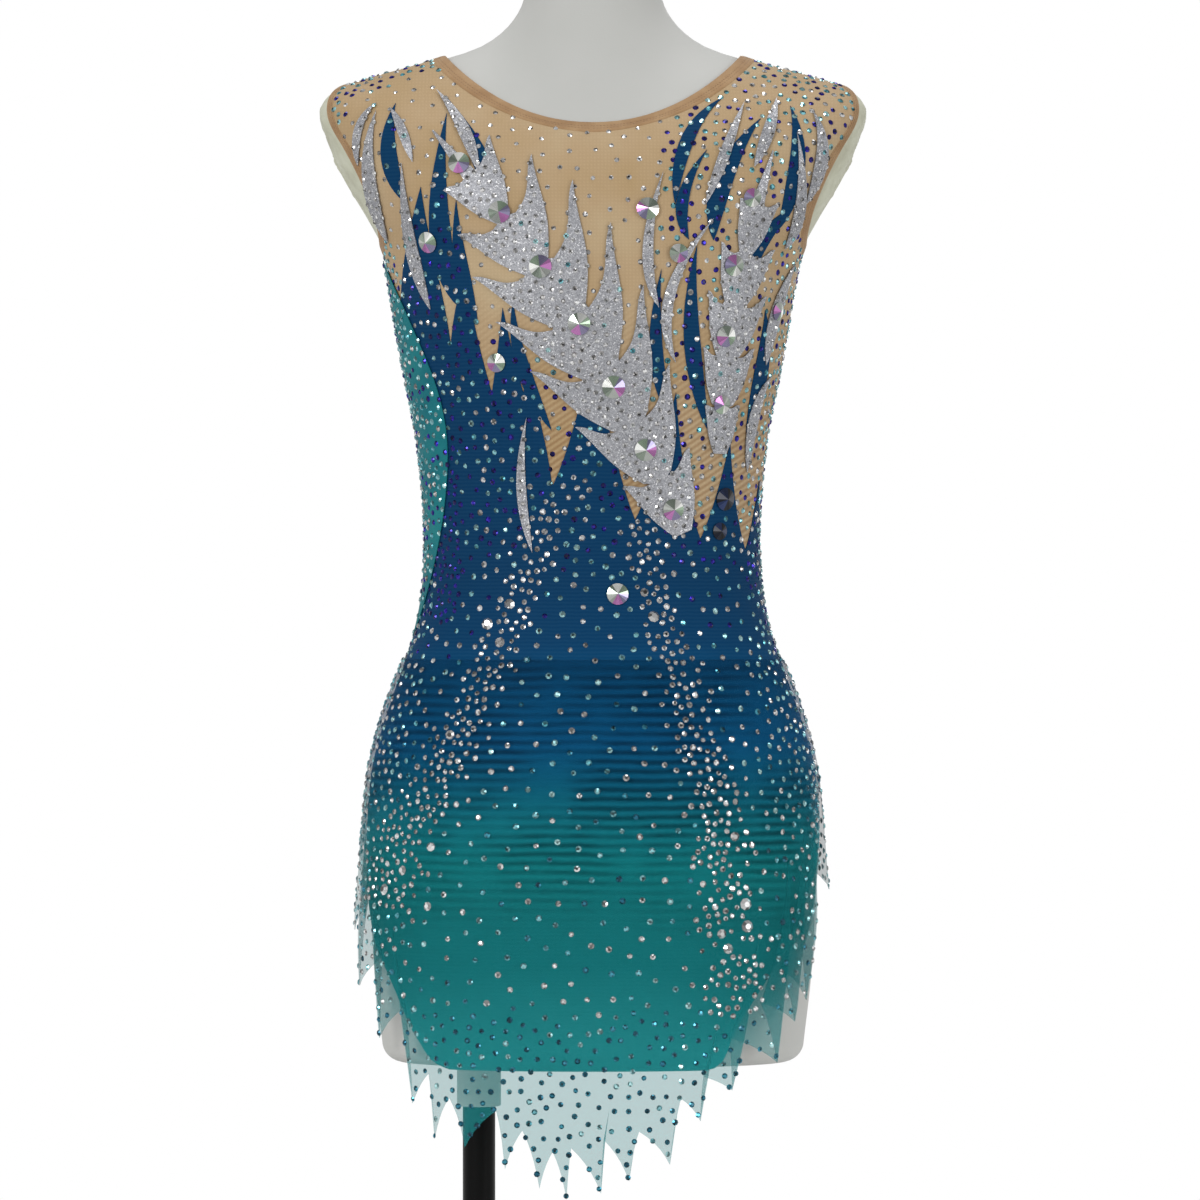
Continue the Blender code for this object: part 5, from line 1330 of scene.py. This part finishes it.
# Spacing in mm, diameters in mm and shares of the colours in each zone
CRYSTAL_ZONES = {
    "foil": (5.7, (3.7, 4.2), {"clear": 0.95, "aqua": 0.05}),
    "neck": (12.5, (3.5, 4.4), {"clear": 1.0}),
    "yoke": (8.6, (3.7, 4.8), {"clear": 0.50, "violet": 0.26, "aqua": 0.24}),
    "right_yoke": (6.9, (3.9, 5.0), {"clear": 0.24, "violet": 0.40, "aqua": 0.36}),
    "blue": (7.3, (3.9, 5.0), {"clear": 0.22, "violet": 0.40, "aqua": 0.38}),
    "side": (6.2, (4.0, 5.1), {"clear": 0.16, "violet": 0.22, "aqua": 0.62}),
    "side_edge": (5.2, (3.9, 4.7), {"violet": 0.86, "aqua": 0.14}),
    "waist": (10.5, (3.9, 5.0), {"clear": 0.40, "violet": 0.12, "aqua": 0.48}),
    "skirt": (13.0, (3.9, 5.1), {"clear": 0.34, "sea": 0.16, "aqua": 0.50}),
    "skirt_side": (7.3, (4.0, 5.0), {"clear": 0.34, "sea": 0.12, "aqua": 0.54}),
    "hem": (8.4, (3.9, 4.8), {"sea": 0.74, "aqua": 0.26}),
    "front": (13.0, (3.7, 4.8), {"clear": 0.34, "violet": 0.30, "aqua": 0.36}),
}

# Trails of clear stones, as places across and heights, with half width at the start and end and how
# many stones; the last two are on the front
TRAILS = (
    (((-30, 418), (-56, 340), (-98, 244), (-138, 172), (-156, 120)), (7.0, 20.0), 1500, False),
    (((34, 404), (54, 318), (82, 228), (97, 140), (108, 40)), (6.0, 22.0), 1600, False),
    (((-30, 440), (-44, 350), (-70, 250), (-84, 150)), (5.0, 14.0), 260, True),
    (((30, 440), (44, 350), (70, 250), (84, 150)), (5.0, 14.0), 260, True),
)
TRAIL_ZONE = (5.3, (3.7, 5.0), {"clear": 1.0})
TRAIL_SPREAD = 0.55         # spread of its stones about the middle line, in half widths
LARGER_IN_TRAILS = 0.07     # share of its stones that are larger
LARGER_SIZES = (6.6, 9.4)

# Glass colours: each stone takes a tone between these two. Its facets are painted lighter and darker over that
# tone as fixed reflections, and most show a painted ring of bright facets round a dark table
CRYSTAL_TONES = {
    "clear": ("#C9C6C4", "#FFFFFF"),
    "aqua": ("#5FB7C6", "#C4F2F2"),
    "violet": ("#1A1070", "#3222B4"),
    "sea": ("#1B6A84", "#4CA6BC"),
}
# Painted light on each facet: a random shade, some facets and tables painted bright as glints, the other tables
# painted dark
PAINTED_FACET_SHADES = (0.22, 0.85)
PAINTED_DARK_TABLES = (0.05, 0.35)
PAINTED_GLINT_FACETS = 0.3         # share of facets that catch a light
PAINTED_GLINT_TABLES = 0.34        # share of tables that do


def crystal_zone(owner, turn, level, across):
    """Name of the zone that a spot on the cloth belongs to, chosen with soft borders"""
    front = abs(turn) > 90.0
    from_side = abs(abs(turn) - 90.0)
    blur = random.random()
    if owner.startswith("silver_foil"):
        return "foil"
    if owner == "teal_side_leaf":
        return "side"
    if owner.startswith("skirt"):
        if level < 34.0 + 14.0 * blur and not front:
            return "hem"
        if front and level < 84.0 + 12.0 * blur:
            return "hem"
        if from_side < 30.0 + 16.0 * blur:
            return "skirt_side"
        return "front" if front else "skirt"
    if from_side < 16.0 + 12.0 * blur:
        return "side"
    if turn < -42.0 - 8.0 * blur and 328.0 < level < 470.0 and from_side < 40.0:
        return "side_edge"
    if front:
        return "front"
    if owner.startswith("body") and level < 352.0 + 30.0 * blur:
        return "waist"
    if owner.startswith("yoke"):
        if across > 44.0 + 18.0 * blur:
            return "right_yoke"
        return "neck" if level > 560.0 - 60.0 * blur else "yoke"
    return "blue"


all_cloth, owners = cloth_tree([
    yoke_back, yoke_front, body_back, body_front, skirt_back, skirt_front, blue_leaves_back,
    blue_leaves_front, side_leaf, neck_binding, bpy.data.objects["armhole_binding_strip_right"],
    bpy.data.objects["armhole_binding_strip_left"]] + foils)
taken = {}
crystals = {colour: [] for colour in CRYSTAL_TONES}


def room_for(spot, reach):
    """Whether no stone within reach of a spot is too near, by the mean of the two stones' spacings"""
    cell = [int(math.floor(value / HASH_CELL)) for value in spot]
    span = int(math.ceil(reach / HASH_CELL))
    for across in range(cell[0] - span, cell[0] + span + 1):
        for along in range(cell[1] - span, cell[1] + span + 1):
            for up in range(cell[2] - span, cell[2] + span + 1):
                for other, other_reach in taken.get((across, along, up), ()):
                    gap = 0.5 * (reach + other_reach)
                    if sum((one - two) ** 2 for one, two in zip(spot, other)) < gap * gap:
                        return False
    return True


def keep_stone(spot, outward, reach, diameter, colour):
    taken.setdefault(tuple(int(math.floor(value / HASH_CELL)) for value in spot), []).append((spot, reach))
    if colour:
        crystals[colour].append((spot, outward, diameter))


RAY_LENGTH = 0.075          # metres, from outside to well below the cloth
LEAST_FACING = 0.3          # cosine of the steepest cloth that a stone is glued on
LARGE_STONE_MARGIN = 0.8    # kept free round a large stone


def try_stone(start, outward, turn, level, zone=None):
    """Glue a crystal where a line from outside meets the cloth, if it is free there"""
    hit = all_cloth.ray_cast(Vector((start + (0.0, 0.0, FORM_UNDERSIDE)) * MM), Vector(-outward), RAY_LENGTH)
    if hit[0] is None or "binding" in owners[hit[2]] or hit[1].dot(Vector(outward)) < LEAST_FACING:
        return
    spot = np.array(hit[0]) / MM - (0.0, 0.0, FORM_UNDERSIDE)
    name = zone or crystal_zone(owners[hit[2]], turn, level, spot[0])
    spacing, (small, large), mix = CRYSTAL_ZONES.get(name, TRAIL_ZONE)
    diameter = random.uniform(small, large)
    if name == "trail" and random.random() < LARGER_IN_TRAILS:
        diameter = random.uniform(*LARGER_SIZES)
    reach = max(spacing, diameter + 2.0 * STONE_MARGIN)
    if room_for(spot, reach):
        colour = list(mix)[int(np.searchsorted(np.cumsum(list(mix.values())), random.random() * 0.9999))]
        keep_stone(spot, np.array(hit[1]), reach, diameter, colour)


for seat, radius in stone_places:
    keep_stone(seat, None, 2.0 * radius + LARGE_STONE_MARGIN, 0.0, None)

for line, (thin, thick), count, front in TRAILS:
    middle = smooth_edge(line, 12)
    share = random.random(count)
    off = random.normal(0.0, TRAIL_SPREAD, count) * (thin + (thick - thin) * share)
    run = np.gradient(middle, axis=0)
    run /= np.linalg.norm(run, axis=1, keepdims=True)
    places = np.linspace(0.0, 1.0, len(middle))
    across = np.interp(share, places, middle[:, 0]) + off * np.interp(share, places, -run[:, 1])
    height = np.interp(share, places, middle[:, 1]) + off * np.interp(share, places, run[:, 0])
    on_skirt = height < SKIRT_SEAM
    form_turn, form_level = place_on_form(across, height, front)
    turn = np.where(on_skirt, place_on_skirt(across, height, front), form_turn)
    level = np.where(on_skirt, height, form_level)
    starts = {}
    for key, surface in ((True, skirt_surface), (False, form_surface)):
        starts[key] = laid_on(surface, turn, level, np.full(turn.shape, REACH_OUT))
    for index in range(count):
        start, outward = starts[bool(on_skirt[index])]
        try_stone(start[index], outward[index], turn[index], level[index], "trail")

turn = random.uniform(-180.0, 180.0, CANDIDATES)
level = random.uniform(HEM_BACK[8][3], NECK_EDGE, CANDIDATES)
on_skirt = level < SKIRT_SEAM
form_start, form_outward = laid_on(form_surface, turn, np.maximum(level, 1.0), np.full(turn.shape, REACH_OUT))
skirt_start, skirt_outward = laid_on(skirt_surface, turn, level, np.full(turn.shape, REACH_OUT))
start = np.where(on_skirt[:, None], skirt_start, form_start)
outward = np.where(on_skirt[:, None], skirt_outward, form_outward)
for index in range(CANDIDATES):
    try_stone(start[index], outward[index], turn[index], level[index])

# Foiled glass mirrors almost like metal, in the tone painted on each facet: the glass colour times a painted
# shade of reflected light
for colour, stones in crystals.items():
    glass, tree, shader, place = start_material(
        f"foiled_glass_{colour}",
        {"Metallic": 0.8, "Roughness": 0.14, "Coat Weight": 0.3, "Coat Roughness": 0.03})
    tint_and_painted_light = add(tree, "ShaderNodeVertexColor", {"layer_name": "facet_tint"}).outputs["Color"]
    haze = add(tree, "ShaderNodeTexNoise", {"Scale": 300.0, "Detail": 1.0}, {"Vector": place}).outputs["Fac"]
    dusty = add(tree, "ShaderNodeMapRange", {"To Max": 0.35}, {"Value": haze}).outputs[0]
    wash = add(tree, "ShaderNodeMix", {
        "data_type": "RGBA", "blend_type": "MULTIPLY", "B": linear("#B8BCC0")}, {"Factor": dusty, "A": tint_and_painted_light})
    tree.links.new(wash.outputs["Result"], shader.inputs["Base Color"])

    spots, normals, sizes = (np.array(values) for values in zip(*stones))
    normals = normals + random.normal(0.0, CRYSTAL_TILT, normals.shape)
    normals /= np.linalg.norm(normals, axis=1, keepdims=True)
    side_way = np.cross(normals, random.normal(0.0, 1.0, normals.shape))
    side_way /= np.linalg.norm(side_way, axis=1, keepdims=True)
    up_way = np.cross(normals, side_way)
    angles = np.arange(CRYSTAL_SIDES) * 2.0 * math.pi / CRYSTAL_SIDES
    cosine, sine = (wave(angles)[None, :, None] for wave in (np.cos, np.sin))
    spokes = cosine * side_way[:, None] + sine * up_way[:, None]
    rings = []
    for radius_share, lift in ((0.5, 0.0), (0.5 * TABLE_SHARE, CRYSTAL_HEIGHT_SHARE)):
        ring = spots[:, None] + spokes * (sizes * radius_share)[:, None, None]
        rings.append(ring + normals[:, None] * (sizes * lift + GLUE_GAP)[:, None, None])
    points = np.concatenate(rings, axis=1)
    template = []
    for side in range(CRYSTAL_SIDES):
        after = (side + 1) % CRYSTAL_SIDES
        template.append([side, after, CRYSTAL_SIDES + after, CRYSTAL_SIDES + side])
    template += [list(range(CRYSTAL_SIDES, 2 * CRYSTAL_SIDES)), list(range(CRYSTAL_SIDES))[::-1]]
    faces = []
    for first in range(0, len(stones) * 2 * CRYSTAL_SIDES, 2 * CRYSTAL_SIDES):
        faces += [[first + mark for mark in face] for face in template]
    piece = make_piece(f"small_crystals_{colour}", points, faces, glass,
                       smooth_below=1.0)

    dark, light = (np.array(linear(code)) for code in CRYSTAL_TONES[colour])
    tone = dark + (light - dark) * random.random((len(stones), 1))
    painted_facet_shading = random.uniform(*PAINTED_FACET_SHADES, (len(stones), len(template)))
    painted_facet_shading[random.random(painted_facet_shading.shape) < PAINTED_GLINT_FACETS] = 1.0
    painted_facet_shading[:, CRYSTAL_SIDES] = np.where(random.random(len(stones)) < PAINTED_GLINT_TABLES, 1.0,
                                        random.uniform(*PAINTED_DARK_TABLES, len(stones)))
    corners = [len(face) for face in template]
    colours = tone[:, None] * np.repeat(painted_facet_shading, corners, axis=1)[:, :, None]
    colours[..., 3] = 1.0
    tints_and_painted_light = piece.data.color_attributes.new("facet_tint", "FLOAT_COLOR", "CORNER")
    tints_and_painted_light.data.foreach_set("color", colours.ravel())


# Studio
# A plain pale floor and soft, wide lights, as in a product photograph, in front of a white surround that
# turns grey overhead and below, so that stones have light and dark to mirror.
FLOOR_RADIUS = 1.25
FLOOR_SIDES = 128
SURROUND_STRENGTH = 1.0

floor_paper, tree, shader, place = start_material("floor_paper", {"Roughness": 0.9, "IOR": 1.45})
fibre = add(tree, "ShaderNodeTexNoise", {"Scale": 60.0, "Detail": 4.0}, {"Vector": place}).outputs["Fac"]
tree.links.new(add(tree, "ShaderNodeValToRGB", {"stops": ((0.3, "#F1F1F0"), (0.7, "#F5F5F4"))},
                   {"Fac": fibre}).outputs["Color"], shader.inputs["Base Color"])

floor_angles = np.arange(FLOOR_SIDES) * 2.0 * math.pi / FLOOR_SIDES
floor_data = bpy.data.meshes.new("floor_disc")
floor_points = [(FLOOR_RADIUS * math.cos(angle), FLOOR_RADIUS * math.sin(angle), 0.0)
                for angle in floor_angles]
floor_data.from_pydata(floor_points, [], [list(range(FLOOR_SIDES))])
floor_data.materials.append(floor_paper)
floor = bpy.data.objects.new("floor_disc", floor_data)
bpy.context.scene.collection.objects.link(floor)

world = bpy.data.worlds.new("studio")
world.use_nodes = True
bpy.context.scene.world = world
tree = world.node_tree
background = tree.nodes["Background"]
background.inputs["Strength"].default_value = SURROUND_STRENGTH
direction = add(tree, "ShaderNodeTexCoord", {}).outputs["Generated"]
rise = add(tree, "ShaderNodeSeparateXYZ", {}, {"Vector": direction}).outputs["Z"]
share = add(tree, "ShaderNodeMapRange", {"From Min": -1.0, "From Max": 1.0}, {"Value": rise}).outputs[0]
tree.links.new(add(tree, "ShaderNodeValToRGB", {"stops": (
    (0.0, "#9C9C9C"), (0.38, "#C4C4C4"), (0.44, "#FFFFFF"), (0.56, "#FFFFFF"), (0.64, "#B4B4B4"),
    (0.82, "#8C8C8C"), (1.0, "#D8D8D8"))},
                   {"Fac": share}).outputs["Color"], background.inputs["Color"])

# Place, size and power of each soft light: a key from the upper left, a weaker fill, and one from above
for name, spot, size, power in (
        ("key_light", (-1.7, -2.6, 1.9), 1.1, 34.0),
        ("fill_light", (2.2, -2.0, 1.0), 1.4, 14.0),
        ("top_light", (0.2, 0.3, 2.9), 1.2, 14.0),
        ("front_light", (0.6, 3.0, 1.5), 1.5, 22.0)):
    light_data = bpy.data.lights.new(name, "AREA")
    light_data.shape = "DISK"
    light_data.size = size
    light_data.energy = power
    light = bpy.data.objects.new(name, light_data)
    light.location = spot
    light.rotation_euler = (Vector((0.0, 0.0, 0.62)) - Vector(spot)).to_track_quat("-Z", "Y").to_euler()
    bpy.context.scene.collection.objects.link(light)
